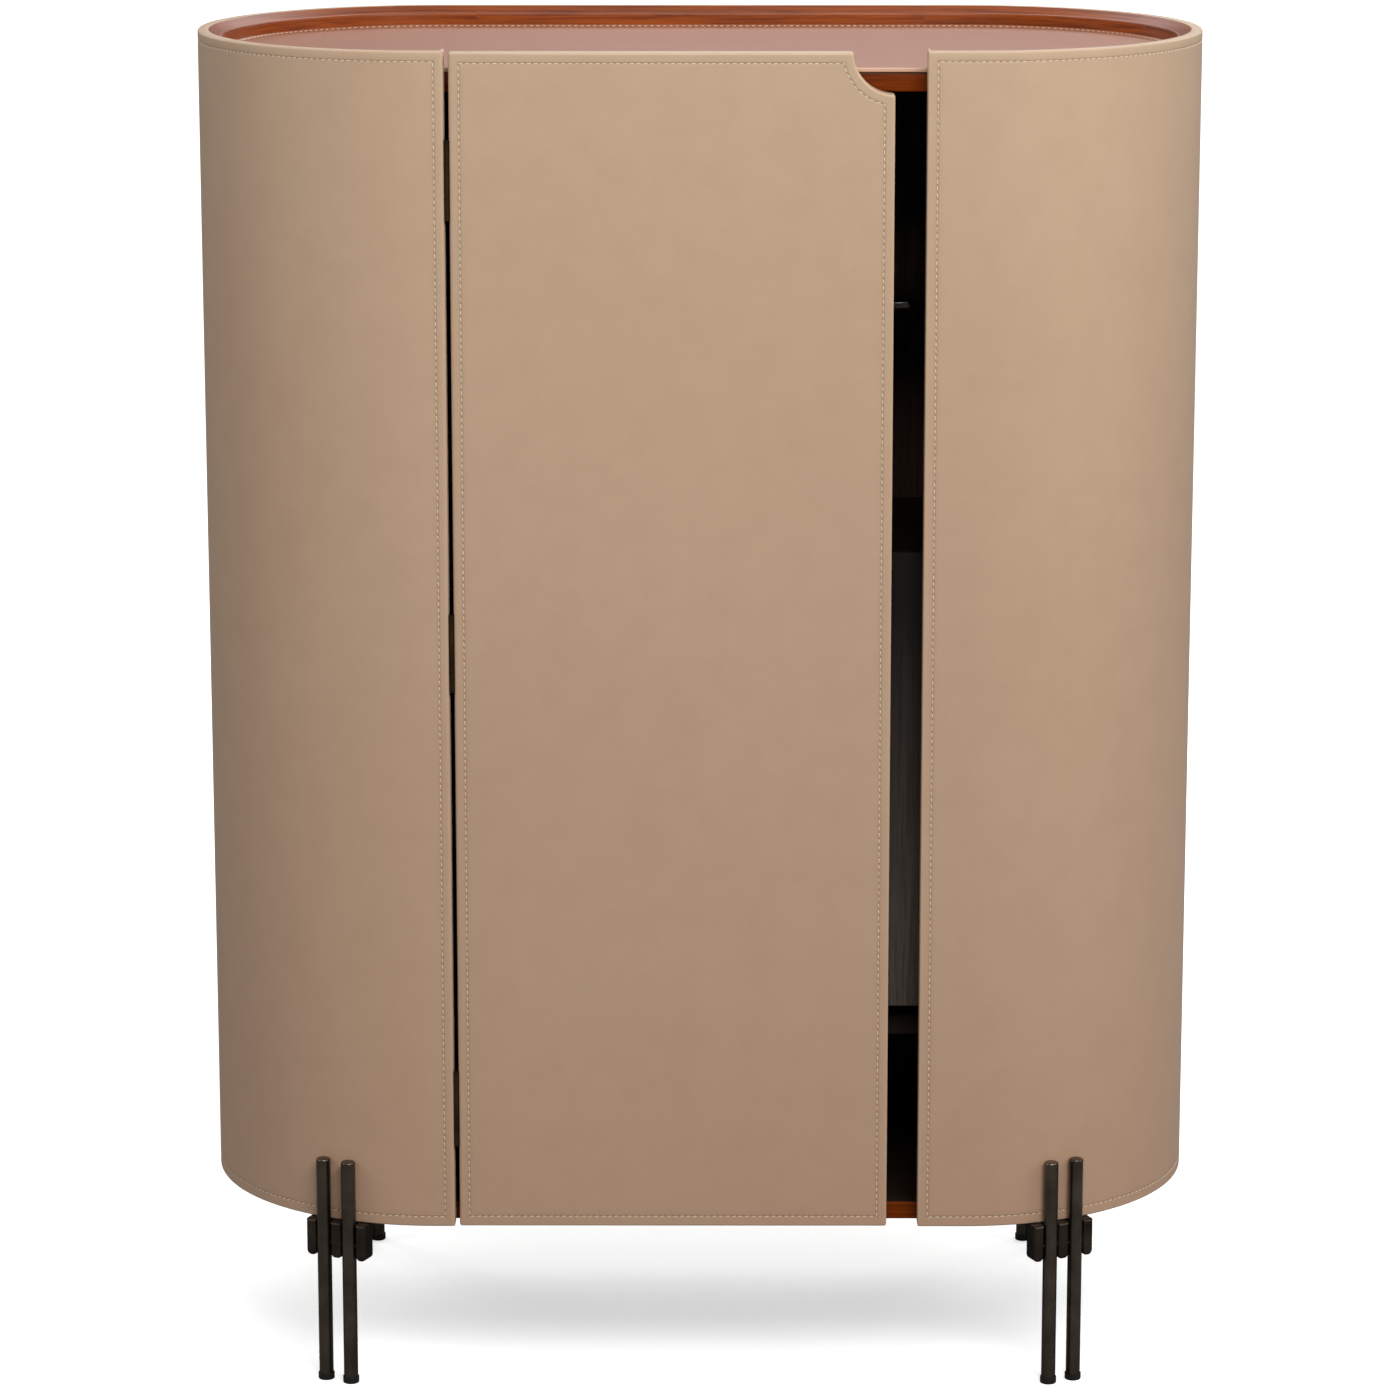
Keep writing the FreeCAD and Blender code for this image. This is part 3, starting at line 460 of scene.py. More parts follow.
def thread_shape(length, width, height):
    """One stitch along X as points, quads and triangles: a flattened spindle of four rings and two tips.

    The rings' size is the square root of 1 - t^6, t from -1 to 1 along the stitch; they sink with t^2, and
    the tips lie lowest, in the two holes.
    """
    at = np.array([-0.86, -0.45, 0.45, 0.86])
    size = np.sqrt(1 - at ** 6)
    turn = arc(0, 360 - 360 / RING, RING)
    lift = -height * 0.55 * at ** 2
    body = np.stack([np.repeat(at * length / 2, RING), np.outer(size, np.cos(turn) * width / 2).ravel(),
                     (np.outer(size, np.sin(turn) * height / 2) + lift[:, None]).ravel()], -1)
    tips = np.array([[-length / 2, 0, -height * 0.7], [length / 2, 0, -height * 0.7]])
    index = np.arange(len(body)).reshape(-1, RING)
    after = np.roll(index, -1, axis=1)
    quads = np.stack([index[1:], after[1:], after[:-1], index[:-1]], -1).reshape(-1, 4)
    low_tip, high_tip = np.full(RING, len(body)), np.full(RING, len(body) + 1)
    tris = np.stack([index[0], after[0], low_tip, after[-1], index[-1], high_tip], -1).reshape(-1, 3)
    return np.concatenate([body, tips]), quads, tris


def stitches(name, lines, seed):
    """Stitches along lines, each a pair of point and normal arrays.

    The middle of stitch i lies (i + 1/2) pitches along the line; its frame is the line's direction, the
    surface normal and their cross product, with a slight random slant as hand sewing leaves.
    """
    leather = settings("leather")
    pitch, width = leather.stitch_pitch, leather.thread_width
    shape, quads, tris = thread_shape(pitch * STITCH_SHARE, width, THREAD_FLAT * width)
    rng = np.random.default_rng(seed)
    centres, along, out = [], [], []
    for points, normals in lines:
        travelled = travel(points)
        count = max(int(round(travelled[-1] / pitch)), 1)
        at = (np.arange(count) + 0.5) * travelled[-1] / count
        reach = pitch * 0.3
        pick = lambda where, source: np.stack([np.interp(where, travelled, row) for row in source.T], -1)
        centres.append(pick(at, points))
        along.append(pick(at + reach, points) - pick(at - reach, points))
        out.append(pick(at, normals))
    centres, along, out = (np.concatenate(part) for part in (centres, along, out))
    along /= np.linalg.norm(along, axis=1)[:, None]
    out -= along * (along * out).sum(1)[:, None]
    out /= np.linalg.norm(out, axis=1)[:, None]
    side = np.cross(out, along)
    slant = rng.normal(*SLANT, len(centres))[:, None]
    along, side = along * np.cos(slant) + side * np.sin(slant), side * np.cos(slant) - along * np.sin(slant)
    base = centres - out * (leather.groove_depth - THREAD_SUNK * width)
    x, y, z = shape.T[:, None, :, None]
    points = base[:, None] + x * along[:, None] + y * side[:, None] + z * out[:, None]
    offsets = (np.arange(len(centres)) * len(shape))[:, None, None]
    faces = (quads + offsets).reshape(-1, 4).tolist() + (tris + offsets).reshape(-1, 3).tolist()
    mesh = bpy.data.meshes.new(name)
    mesh.from_pydata(points.reshape(-1, 3).tolist(), [], faces)
    mesh.shade_smooth()
    mesh.update()
    return link(name, mesh)


def wall_seams(plan, columns, left=False):
    """Rows of stitches round a wall panel: two level rows and two upright ones, joined at the corners."""
    seam = settings("leather").seam_inset
    normal, across, _ = columns
    ring = plan(0.0, FOLD)
    first, last = np.flatnonzero(across >= seam - 0.001 * MM)[[0, -1]]
    span = slice(first, last + 1)
    turn = np.array([-1 if left else 1, 1, 1])
    ends = np.array([BODY_LOW + seam, BODY_TOP - seam])
    lines = [(flat_place(*ring[span].T, z), flat_place(*normal[span].T, 0.0)) for z in ends]
    lines += [(flat_place(*ring[i], ends), flat_place(*normal[i], np.zeros(2))) for i in (first, last)]
    return [(points * turn, normals * turn) for points, normals in lines]


def outline_seam(outline, place, height, normal):
    """Row of stitches along a closed outline on a flat face."""
    loop = np.concatenate([outline, outline[:1]])
    return [(place(*loop.T, height), np.tile(normal, (len(loop), 1)))]


# Finishes

def colour(text):
    """Linear colour from an sRGB hex value."""
    parts = [int(text[i:i + 2], 16) / 255 for i in (1, 3, 5)]
    return (*[c / 12.92 if c <= 0.04045 else ((c + 0.055) / 1.055) ** 2.4 for c in parts], 1.0)


def fill(node, inputs):
    """Give each input of a node a plain value or a link from another node."""
    for key, value in inputs.items():
        if isinstance(value, bpy.types.NodeSocket):
            node.id_data.links.new(value, node.inputs[key])
        else:
            node.inputs[key].default_value = value


def add(tree, kind, inputs=None, **choices):
    """Add a node, set its choices and fill its inputs."""
    made = tree.nodes.new(kind)
    for key, value in choices.items():
        setattr(made, key, value)
    fill(made, inputs or {})
    return made


def finish(name):
    """Node tree and principled shader of a new material."""
    made = bpy.data.materials.new(name)
    made.use_nodes = True
    return made.node_tree, made.node_tree.nodes["Principled BSDF"]


def calf_leather(name, hex_base, hex_rosy, hex_wear_and_highlight, hex_dark, roughness, grain, wear_and_highlight_weight=0.35):
    """Smooth full-grain leather, drum dyed and hand waxed: a satin face with a faint pebble, slow changes
    between a sandy and a rosy tone over a forearm's length, a painted shift from sandy at the top to rosy
    at the bottom for how the light falls, small cloudy flecks, painted shade along sewn grooves, and folds
    paler from wear and a painted highlight.

    The pebble is 0.8 mm on the real hide and drawn at 1.6 mm, so that it shows at this size.
    """
    tree, shader = finish(name)
    at = add(tree, "ShaderNodeTexCoord").outputs["Object"]
    slow = add(tree, "ShaderNodeTexNoise", {"Vector": at, "Scale": 1 / 0.3, "Detail": 2.0, "Roughness": 0.5})
    cloud = add(tree, "ShaderNodeTexNoise", {"Vector": at, "Scale": 1 / 0.035, "Detail": 4.0,
                                             "Roughness": 0.6})
    small = add(tree, "ShaderNodeTexNoise", {"Vector": at, "Scale": 1 / 0.004, "Detail": 3.0,
                                             "Roughness": 0.6})
    # Painted light: the tone leans sandy higher up and rosy lower down, as the light falls.
    up = add(tree, "ShaderNodeSeparateXYZ", {0: at})
    low = add(tree, "ShaderNodeMath", {0: up.outputs["Z"], 1: -0.55, 2: 0.62}, operation="MULTIPLY_ADD")
    tone = add(tree, "ShaderNodeMath", {0: slow.outputs["Fac"], 1: 0.5, 2: low.outputs[0]},
               operation="MULTIPLY_ADD", use_clamp=True)
    base = add(tree, "ShaderNodeMix", {0: tone.outputs[0], 6: colour(hex_base), 7: colour(hex_rosy)},
               data_type="RGBA")
    fleck = add(tree, "ShaderNodeMapRange", {"Value": cloud.outputs["Fac"], "From Min": 0.4, "From Max": 0.75,
                                             "To Min": 0.0, "To Max": 0.09})
    face = add(tree, "ShaderNodeMix", {0: fleck.outputs[0], 6: base.outputs[2], 7: colour(hex_dark)},
               data_type="RGBA")
    # Painted shade: the leather darkens along each row of stitches, as in the groove's shadow.
    seam = add(tree, "ShaderNodeAttribute", attribute_name="seam")
    sewn = add(tree, "ShaderNodeMath", {0: seam.outputs["Fac"], 1: 0.45}, operation="MULTIPLY")
    shaded = add(tree, "ShaderNodeMix", {0: sewn.outputs[0], 6: face.outputs[2], 7: colour(hex_dark)},
                 data_type="RGBA")
    # Wear and a painted highlight: folds turn paler towards the light colour.
    edge = add(tree, "ShaderNodeAttribute", attribute_name="edge")
    wear_and_highlight_share = add(tree, "ShaderNodeMath", {0: edge.outputs["Fac"], 1: wear_and_highlight_weight}, operation="MULTIPLY")
    wear_and_highlight = add(tree, "ShaderNodeMix", {0: wear_and_highlight_share.outputs[0], 6: shaded.outputs[2], 7: colour(hex_wear_and_highlight)},
               data_type="RGBA")
    rough = add(tree, "ShaderNodeMapRange", {"Value": small.outputs["Fac"], "To Min": roughness - 0.06,
                                             "To Max": roughness + 0.08})
    pebble = add(tree, "ShaderNodeTexVoronoi", {"Vector": at, "Scale": 1 / 0.0016, "Smoothness": 0.6},
                 feature="SMOOTH_F1")
    height = add(tree, "ShaderNodeMath", {0: pebble.outputs["Distance"], 1: small.outputs["Fac"]},
                 operation="ADD")
    bump = add(tree, "ShaderNodeBump", {"Height": height.outputs[0], "Strength": grain, "Distance": 0.0002})
    fill(shader, {"Base Color": wear_and_highlight.outputs[2], "Roughness": rough.outputs[0], "Normal": bump.outputs[0],
                  "Sheen Weight": 0.06, "Sheen Roughness": 0.5})


def polished_wood(name, hex_base, hex_dark, stretch, roughness, coat, shine=0.5, by_uv=False, painted_shade_heights=None):
    """Oiled and lacquered walnut: long dark growth lines about 3 mm apart, fine open pores 0.5 mm wide and
    20 mm long (drawn 0.8 mm wide, so that they show), and a clear coat.

    stretch divides each axis of the pattern, so its grain runs along the axis with the largest number.
    An optional pair of heights gives the span over which painted shade darkens the wood upwards almost to
    black.
    """
    tree, shader = finish(name)
    coords = add(tree, "ShaderNodeTexCoord").outputs["UV" if by_uv else "Object"]
    at = add(tree, "ShaderNodeMapping", {"Vector": coords, "Scale": tuple(1 / s for s in stretch)}).outputs[0]
    broad = add(tree, "ShaderNodeTexNoise", {"Vector": at, "Scale": 0.28, "Detail": 2.0, "Roughness": 0.5,
                                             "Distortion": 0.6})
    rings = add(tree, "ShaderNodeTexNoise", {"Vector": at, "Scale": 1.0, "Detail": 5.0, "Roughness": 0.62,
                                             "Distortion": 0.35})
    pores = add(tree, "ShaderNodeTexNoise", {"Vector": at, "Scale": 3.6, "Detail": 2.0, "Roughness": 0.5})
    lines = add(tree, "ShaderNodeMapRange", {"Value": rings.outputs["Fac"], "From Min": 0.4, "From Max": 0.68,
                                             "To Min": 0.0, "To Max": 0.75}, interpolation_type="SMOOTHSTEP")
    grain = add(tree, "ShaderNodeMix", {0: lines.outputs[0], 6: colour(hex_base), 7: colour(hex_dark)},
                data_type="RGBA")
    shade = add(tree, "ShaderNodeMapRange", {"Value": broad.outputs["Fac"], "From Min": 0.3, "From Max": 0.7,
                                             "To Min": 0.84, "To Max": 1.2})
    toned = add(tree, "ShaderNodeVectorMath", {0: grain.outputs[2], "Scale": shade.outputs[0]},
                operation="SCALE")
    open_pore = add(tree, "ShaderNodeMapRange", {"Value": pores.outputs["Fac"], "From Min": 0.6,
                                                 "From Max": 0.72, "To Min": 0.0, "To Max": 0.65})
    face = add(tree, "ShaderNodeMix", {0: open_pore.outputs[0], 6: toned.outputs[0], 7: colour(hex_dark)},
               data_type="RGBA")
    # Painted shade: the wood grows darker upwards between the two heights.
    if painted_shade_heights:
        up = add(tree, "ShaderNodeSeparateXYZ", {0: add(tree, "ShaderNodeTexCoord").outputs["Object"]})
        painted_shade = add(tree, "ShaderNodeMapRange", {"Value": up.outputs["Z"], "From Min": painted_shade_heights[0],
                                                 "From Max": painted_shade_heights[1], "To Min": 0.0, "To Max": 0.93})
        face = add(tree, "ShaderNodeMix", {0: painted_shade.outputs[0], 6: face.outputs[2], 7: (0, 0, 0, 1)},
                   data_type="RGBA")
    bump = add(tree, "ShaderNodeBump", {"Height": pores.outputs["Fac"], "Strength": 0.12, "Distance": 0.0003})
    rough = add(tree, "ShaderNodeMapRange", {"Value": rings.outputs["Fac"], "To Min": roughness - 0.05,
                                             "To Max": roughness + 0.08})
    fill(shader, {"Base Color": face.outputs[2], "Roughness": rough.outputs[0], "Normal": bump.outputs[0],
                  "Specular IOR Level": shine, "Coat Weight": coat, "Coat Roughness": 0.16})


def bronzed_metal(name, hex_base, hex_worn, roughness, cast):
    """Steel lacquered dark bronze: a satin metal with faint draw lines, or the soft orange peel of a sand
    casting where cast is above 0."""
    tree, shader = finish(name)
    at = add(tree, "ShaderNodeTexCoord").outputs["Object"]
    drawn = 1.0 if cast else 0.04       # the draw lines run 25 times as far along the bar as across it
    along = add(tree, "ShaderNodeMapping", {"Vector": at, "Scale": (1.0, 1.0, drawn)}).outputs[0]
    fine = add(tree, "ShaderNodeTexNoise", {"Vector": along, "Scale": 1 / 0.0012, "Detail": 3.0})
    cloud = add(tree, "ShaderNodeTexNoise", {"Vector": at, "Scale": 1 / 0.03, "Detail": 3.0})
    tone = add(tree, "ShaderNodeMapRange", {"Value": cloud.outputs["Fac"], "From Min": 0.35, "From Max": 0.7})
    face = add(tree, "ShaderNodeMix", {0: tone.outputs[0], 6: colour(hex_base), 7: colour(hex_worn)},
               data_type="RGBA")
    rough = add(tree, "ShaderNodeMapRange", {"Value": fine.outputs["Fac"], "To Min": roughness - 0.08,
                                             "To Max": roughness + 0.1})
    bump = add(tree, "ShaderNodeBump", {"Height": fine.outputs["Fac"], "Strength": 0.1 + cast,
                                        "Distance": 0.0003})
    fill(shader, {"Base Color": face.outputs[2], "Roughness": rough.outputs[0], "Normal": bump.outputs[0],
                  "Metallic": 1.0})


def moulded(name, hex_base, roughness):
    """Moulded nylon, rubber or catch plastic: even colour with a spark-eroded texture, 0.8 mm apart."""
    tree, shader = finish(name)
    at = add(tree, "ShaderNodeTexCoord").outputs["Object"]
    fine = add(tree, "ShaderNodeTexNoise", {"Vector": at, "Scale": 1 / 0.0008, "Detail": 2.0})
    rough = add(tree, "ShaderNodeMapRange", {"Value": fine.outputs["Fac"], "To Min": roughness - 0.06,
                                             "To Max": roughness + 0.06})
    bump = add(tree, "ShaderNodeBump", {"Height": fine.outputs["Fac"], "Strength": 0.15, "Distance": 0.0002})
    fill(shader, {"Base Color": colour(hex_base), "Roughness": rough.outputs[0], "Normal": bump.outputs[0]})


def float_glass(name):
    """Float glass, 6 mm, tinted a smoky bronze, so that the inside stays dark."""
    _, shader = finish(name)
    fill(shader, {"Base Color": colour("#8A7A6C"), "Roughness": 0.02, "Transmission Weight": 1.0,
                  "IOR": 1.52})


def waxed_thread(name, hex_base):
    """Waxed linen thread: matt, a little uneven in tone from stitch to stitch."""
    tree, shader = finish(name)
    at = add(tree, "ShaderNodeTexCoord").outputs["Object"]
    noise = add(tree, "ShaderNodeTexNoise", {"Vector": at, "Scale": 1 / 0.004, "Detail": 2.0})
    tone = add(tree, "ShaderNodeMapRange", {"Value": noise.outputs["Fac"], "From Min": 0.3, "From Max": 0.7,
                                            "To Min": 0.0, "To Max": 0.4})
    face = add(tree, "ShaderNodeMix", {0: tone.outputs[0], 6: colour(hex_base), 7: colour("#B39B7C")},
               data_type="RGBA")
    fill(shader, {"Base Color": face.outputs[2], "Roughness": 0.6, "Sheen Weight": 0.2})


def coat_with(made, *finishes):
    """Give a piece or a solid its finishes."""
    made.data.materials.clear()
    for name in finishes:
        made.data.materials.append(bpy.data.materials[name])


def dress(made, body, slot, *finishes):
    """Give a new piece its finishes and the body that it moves with. The slot argument is not used."""
    coat_with(made, *finishes)
    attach(made, body)


class CABINET_OT_finishes(Operator):
    """Make every finish of the cabinet"""
    bl_idname = "cabinet.finishes"
    bl_label = "Finishes"

    def execute(self, context):
        leather, wood = settings("leather"), settings("wood")
        calf_leather("saddle_leather", leather.body_colour, leather.rosy_colour, "#CDB093", "#8A6B4E",
                     0.52, 0.12)
        # The top leather's pale edge colour and high share paint a highlight along its turned-up edge, with
        # some wear.
        calf_leather("tray_leather", leather.tray_colour, "#A0644A", "#E2BBA0", "#74391F", 0.35, 0.08,
                     wear_and_highlight_weight=0.8)
        calf_leather("lining_calf", leather.lining_colour, "#4C2C1E", "#5E3B29", "#2C1810", 0.6, 0.2)
        waxed_thread("waxed_thread", leather.thread_colour)
        waxed_thread("lining_thread", "#C2A27C")
        polished_wood("rim_walnut", wood.rim_colour, wood.rim_dark, (0.09, 0.0032, 0.0032), 0.4, 0.04,
                      shine=0.28, by_uv=True)
        polished_wood("edge_walnut", "#722F02", "#441401", (0.09, 0.0032, 0.0032), 0.5, 0.0, shine=0.08)
        polished_wood("inside_veneer", wood.inside_colour, wood.inside_dark, (0.004, 0.004, 0.11), 0.55, 0.0)
        polished_wood("leaf_walnut", "#66402A", "#3A2316", (0.11, 0.004, 0.004), 0.42, 0.1)
        # The stile's veneer is darkened upwards by painted shade between 0.38 m and 0.72 m.
        polished_wood("stile_veneer", "#443C36", "#2C2622", (0.004, 0.004, 0.11), 0.5, 0.0, shine=0.2,
                      painted_shade_heights=(0.38, 0.72))
        polished_wood("shelf_veneer", "#281C15", "#17100B", (0.11, 0.004, 0.004), 0.55, 0.0, shine=0.2)
        bronzed_metal("bronzed_bar", "#5A5047", "#73685E", 0.29, 0.0)
        bronzed_metal("bronzed_casting", "#3C342D", "#544A41", 0.42, 0.25)
        bronzed_metal("burnished_brass", "#3A2E20", "#54442E", 0.40, 0.0)
        bronzed_metal("zinc_plated_steel", "#A7A6A0", "#BDBBB4", 0.32, 0.0)
        moulded("black_nylon", "#17140F", 0.45)
        moulded("black_rubber", "#1B1A19", 0.75)
        moulded("brown_plastic", "#3A2A20", 0.5)
        float_glass("float_glass")
        return {"FINISHED"}


class CABINET_OT_walls(Operator):
    """Make the leather of the two round walls and the back, with its stitches"""
    bl_idname = "cabinet.walls"
    bl_label = "Leather Walls"

    def execute(self, context):
        walls = (("right_wall", "right_shell_leather", shell_plan(OPEN_RIGHT), shell_normals(OPEN_RIGHT), 3),
                 ("left_wall", "left_shell_leather", shell_plan(-OPEN_LEFT), shell_normals(-OPEN_LEFT), 3),
                 ("back_panel", "back_leather", back_plan, back_normals(), 5))
        for name, node, plan, columns, seed in walls:
            left = name == "left_wall"
            made = clad_wall(name + "_leather", plan, columns, left)
            dress(made, "cabinet", "body_leather", "saddle_leather")
            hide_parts(node)
            sewn = stitches(name + "_stitches", wall_seams(plan, columns, left), seed)
            dress(sewn, "cabinet", "body_leather", "waxed_thread")
        return {"FINISHED"}


class CABINET_OT_rims(Operator):
    """Make the polished wooden rim in its three runs"""
    bl_idname = "cabinet.rims"
    bl_label = "Wooden Rims"

    def execute(self, context):
        for name in ("right", "left", "back"):
            made = rim(name)
            dress(made, "cabinet", "wood", "rim_walnut")
            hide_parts(name + "_rim")
        return {"FINISHED"}


def rim_profile():
    """Section of the rim as (inset, height), clockwise with the outside on the left: a rounded outer edge at
    the leather, a top that falls towards the middle, a beaded inner edge and an upright inner face."""
    e = settings("wood").edge_round
    ease, bead = 0.6 * e, 1.5 * e
    outer = corner((RIM_OUT + ease, RIM_TOP - ease), ease, 180, 90, 4)
    inner = corner((WALL - bead, RIM_TOP - RIM_FALL - bead), bead, 105, 0, 6)
    slope = outer[-1] + np.array([[0.06], [0.94]]) * (inner[0] - outer[-1])
    upright = pairs(WALL, [inner[-1, 1] - 0.6 * MM, TRAY_TOP, RIM_LOW])
    outside = pairs(RIM_OUT, [RIM_LOW, outer[0, 1] - 0.6 * MM])
    return np.concatenate([outer, slope, inner, upright, outside])[::-1]


RIM_GRAIN = {"right": 0.0, "left": 3.0, "back": 7.0}        # where each run lies in the grain's pattern


def rim(name):
    """One run of the rim: the section carried along the body's plan. Its map runs along the wood."""
    profile = rim_profile()
    if name == "back":
        base = pairs(np.linspace(BACK_HALF, -BACK_HALF, 9), END_R)
        normal = np.tile([0, 1], (len(base), 1))
    else:
        start = LEATHER + (OPEN_RIGHT if name == "right" else -OPEN_LEFT)
        base = np.concatenate([pairs([start, (start + END_X) / 2], -END_R),
                               corner((END_X, 0), END_R, -90, 90, 65),
                               pairs([END_X - 10 * MM, BACK_HALF], END_R)])
        normal = np.concatenate([[[0, -1]] * 2, corner((0, 0), 1, -90, 90, 65), [[0, 1]] * 2])
    plan = base[:, None] - normal[:, None] * profile[None, :, 0, None]
    points = flat_place(plan[..., 0], plan[..., 1], profile[None, :, 1])
    uv = pairs(travel(base)[:, None], travel(profile)[None]) + RIM_GRAIN[name]
    if name == "left":
        points = points * np.array([-1, 1, 1])
    return surface(name + "_wooden_rim", points, uv=uv, closed=True, capped=True, flip=name == "left")


class CABINET_OT_tray(Operator):
    """Make the leather that is inlaid in the top, with its row of stitches"""
    bl_idname = "cabinet.tray"
    bl_label = "Top Leather"

    def execute(self, context):
        seam, groove = 2.6 * MM, 0.2 * MM
        lift, crest, width = 1.6 * MM, 0.8 * MM, 3.6 * MM       # of the turned-up edge, half a cosine wave
        foot, heel, shoulder = 3.2 * MM, 0.4 * MM, TRAY_TOP - 1.9 * MM
        inset = np.concatenate([seam + NEAR_SEAM[1:], [5.2 * MM, 9 * MM]])
        fall = lift / 2 * (1 + np.cos(np.pi * np.clip((inset - crest) / width, 0, 1)))
        profile = np.concatenate([
            [(foot, TRAY_LOW), (foot, shoulder), (heel, shoulder)],
            hung(quarter(crest, 5), TRAY_TOP + lift),
            pairs(inset, TRAY_TOP + fall - groove * bell(inset - seam, GROOVE))])
        # Its paler turned edge is a painted highlight with some wear.
        made = slab("inlaid_top_leather", stadium, profile, flat_place, seam=seam, wear_and_highlight=0.9 * MM)
        dress(made, "cabinet", "top_leather", "tray_leather")
        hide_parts("top_leather")
        sewn = stitches("top_stitches", self.turned_seam(seam, TRAY_TOP + lift / 2, 0.62), 7)
        dress(sewn, "cabinet", "top_leather", "waxed_thread")
        return {"FINISHED"}

    def turned_seam(self, seam, height, slope):
        """Row of stitches on the turned-up edge: its normals lean inwards by the slope, in radians."""
        points = flat_place(*stadium(seam).T, height)
        inward = stadium(seam + MM) - stadium(seam)
        inward /= np.linalg.norm(inward, axis=1)[:, None]
        normals = flat_place(*(inward * math.sin(slope)).T, math.cos(slope))
        return [(np.concatenate([points, points[:1]]), np.concatenate([normals, normals[:1]]))]


class CABINET_OT_door(Operator):
    """Make the leather of the door with its finger notch, the lining and both rows of stitches"""
    bl_idname = "cabinet.door"
    bl_label = "Door Leather"
    reach = 6 * MM              # from a row of stitches to the last ring of its face

    def execute(self, context):
        leather = settings("leather")
        seam, depth = leather.seam_inset, leather.groove_depth
        profile = np.concatenate([
            [(LEATHER, DOOR_FRONT - LEATHER), (LEATHER, LINING_FRONT), (0.0, LINING_FRONT)],
            pairs(0.0, np.array([-3.0, -1.8, -0.6, 0.4]) * MM - HINGE_Y),       # rows beside the knuckles
            hung(quarter(FOLD), DOOR_FRONT),
            hung(np.array([(2.4, 0), (3.5, 0)]) * MM, DOOR_FRONT),
            hung(seam_rows(5 * MM, seam, depth, self.reach), DOOR_FRONT)])
        made = slab("door_panel_leather", door_outline, profile, front_place, seam=seam)
        dress(made, "door", "body_leather", "saddle_leather")
        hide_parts("door_leather")
        line = outline_seam(door_outline(seam), front_place, DOOR_FRONT, (0, -1, 0))
        sewn = stitches("door_stitches", line, 11)
        dress(sewn, "door", "body_leather", "waxed_thread")
        self.line_door()
        return {"FINISHED"}

    def line_door(self):
        """Lining of the door's inner face: its rows run from the face to the front, so that it faces back."""
        seam, margin = 7 * MM, 1.0 * MM
        depth = settings("leather").groove_depth * 0.7
        family = lambda inset: door_outline(inset, margin)
        profile = np.concatenate([
            [(0.0, LINING_FRONT)],
            hung(quarter(1.0 * MM, 4), DOOR_REAR, 1),
            hung(seam_rows(1.5 * MM, seam, depth, self.reach), DOOR_REAR, 1)])[::-1]
        made = slab("door_inner_lining", family, profile, front_place, seam=seam)
        dress(made, "door", "lining_leather", "lining_calf")
        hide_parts("door_lining")
        sewn = stitches("lining_stitches", outline_seam(family(seam), front_place, DOOR_REAR, (0, 1, 0)), 13)
        dress(sewn, "door", "lining_leather", "lining_thread")


def shelf_family(node, play=PLAY):
    """Plan of a shelf brought in by an inset: a straight front edge and the body's inside round the back."""
    front = limits(node, 1)[0]

    def outline(inset):
        radius = END_R - WALL - play - inset
        start = math.degrees(math.asin((front + inset) / radius))
        return np.concatenate([corner((END_X, 0), radius, start, 90, 40),
                               corner((-END_X, 0), radius, 90, 180 - start, 40)])
    return outline


class CABINET_OT_boards(Operator):
    """Make the boards and shelves with eased edges; top and bottom board have dark faces and a lipped edge"""
    bl_idname = "cabinet.boards"
    bl_label = "Boards and Shelves"

    def execute(self, context):
        boards = (("middle_shelf", shelf_family("middle_shelf"), "wood", ("shelf_veneer",)),
                  ("lower_shelf", shelf_family("lower_shelf"), "wood", ("shelf_veneer",)),
                  ("glass_shelf", shelf_family("glass_shelf", 1.0 * MM), "glass", ("float_glass",)),
                  ("top_board", stadium, "wood", ("edge_walnut", "shelf_veneer")),
                  ("bottom_board", stadium, "wood", ("edge_walnut", "shelf_veneer")))
        for node, family, slot, finishes in boards:
            profile = eased(*limits(node, 2), settings("wood").edge_round)
            made = slab(node + "_eased", family, profile, flat_place)
            dress(made, "cabinet", slot, *finishes)
            if len(finishes) == 2:
                self.veneer_faces(made.data.polygons)
            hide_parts(node)
        return {"FINISHED"}

    def veneer_faces(self, faces):
        """Give the faces that lie level the second finish."""
        normals = np.zeros(len(faces) * 3, np.float32)
        faces.foreach_get("normal", normals)
        faces.foreach_set("material_index", (np.abs(normals[2::3]) > 0.9).astype(np.int32))


def turned_bar(name):
    """Round bar of a leg: a straight side and a rounded upper edge that catches a point of light."""
    (x0, x1), (y0, y1), (z0, z1) = (limits(name, axis) for axis in range(3))
    profile = np.concatenate([[(0.0, z0), (0.0, z1 - 3 * MM)], hung(quarter(1.6 * MM, 9), z1)])
    radius = (x1 - x0) / 2 - profile[:, 0]
    turn = arc(0, 352.5, 48)
    x = (x0 + x1) / 2 + np.outer(radius, np.cos(turn))
    y = (y0 + y1) / 2 + np.outer(radius, np.sin(turn))
    made = surface(name.replace("_rod", "_bar"), flat_place(x, y, profile[:, 1:]), closed=True, capped=True)
    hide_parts(name)
    return made


SOLID_FINISH = {
    "leg_cross_pins": "bronzed_casting", "fold_out_shelf": "leaf_walnut", "compartment_stile": "stile_veneer",
    "door_core": "inside_veneer", "strike_plate": "zinc_plated_steel", "bracket_screws": "zinc_plated_steel",
    "rod_screws": "zinc_plated_steel", "leg_glides": "black_nylon", "door_bumpers": "black_rubber",
    "magnetic_catch": "brown_plastic",
}


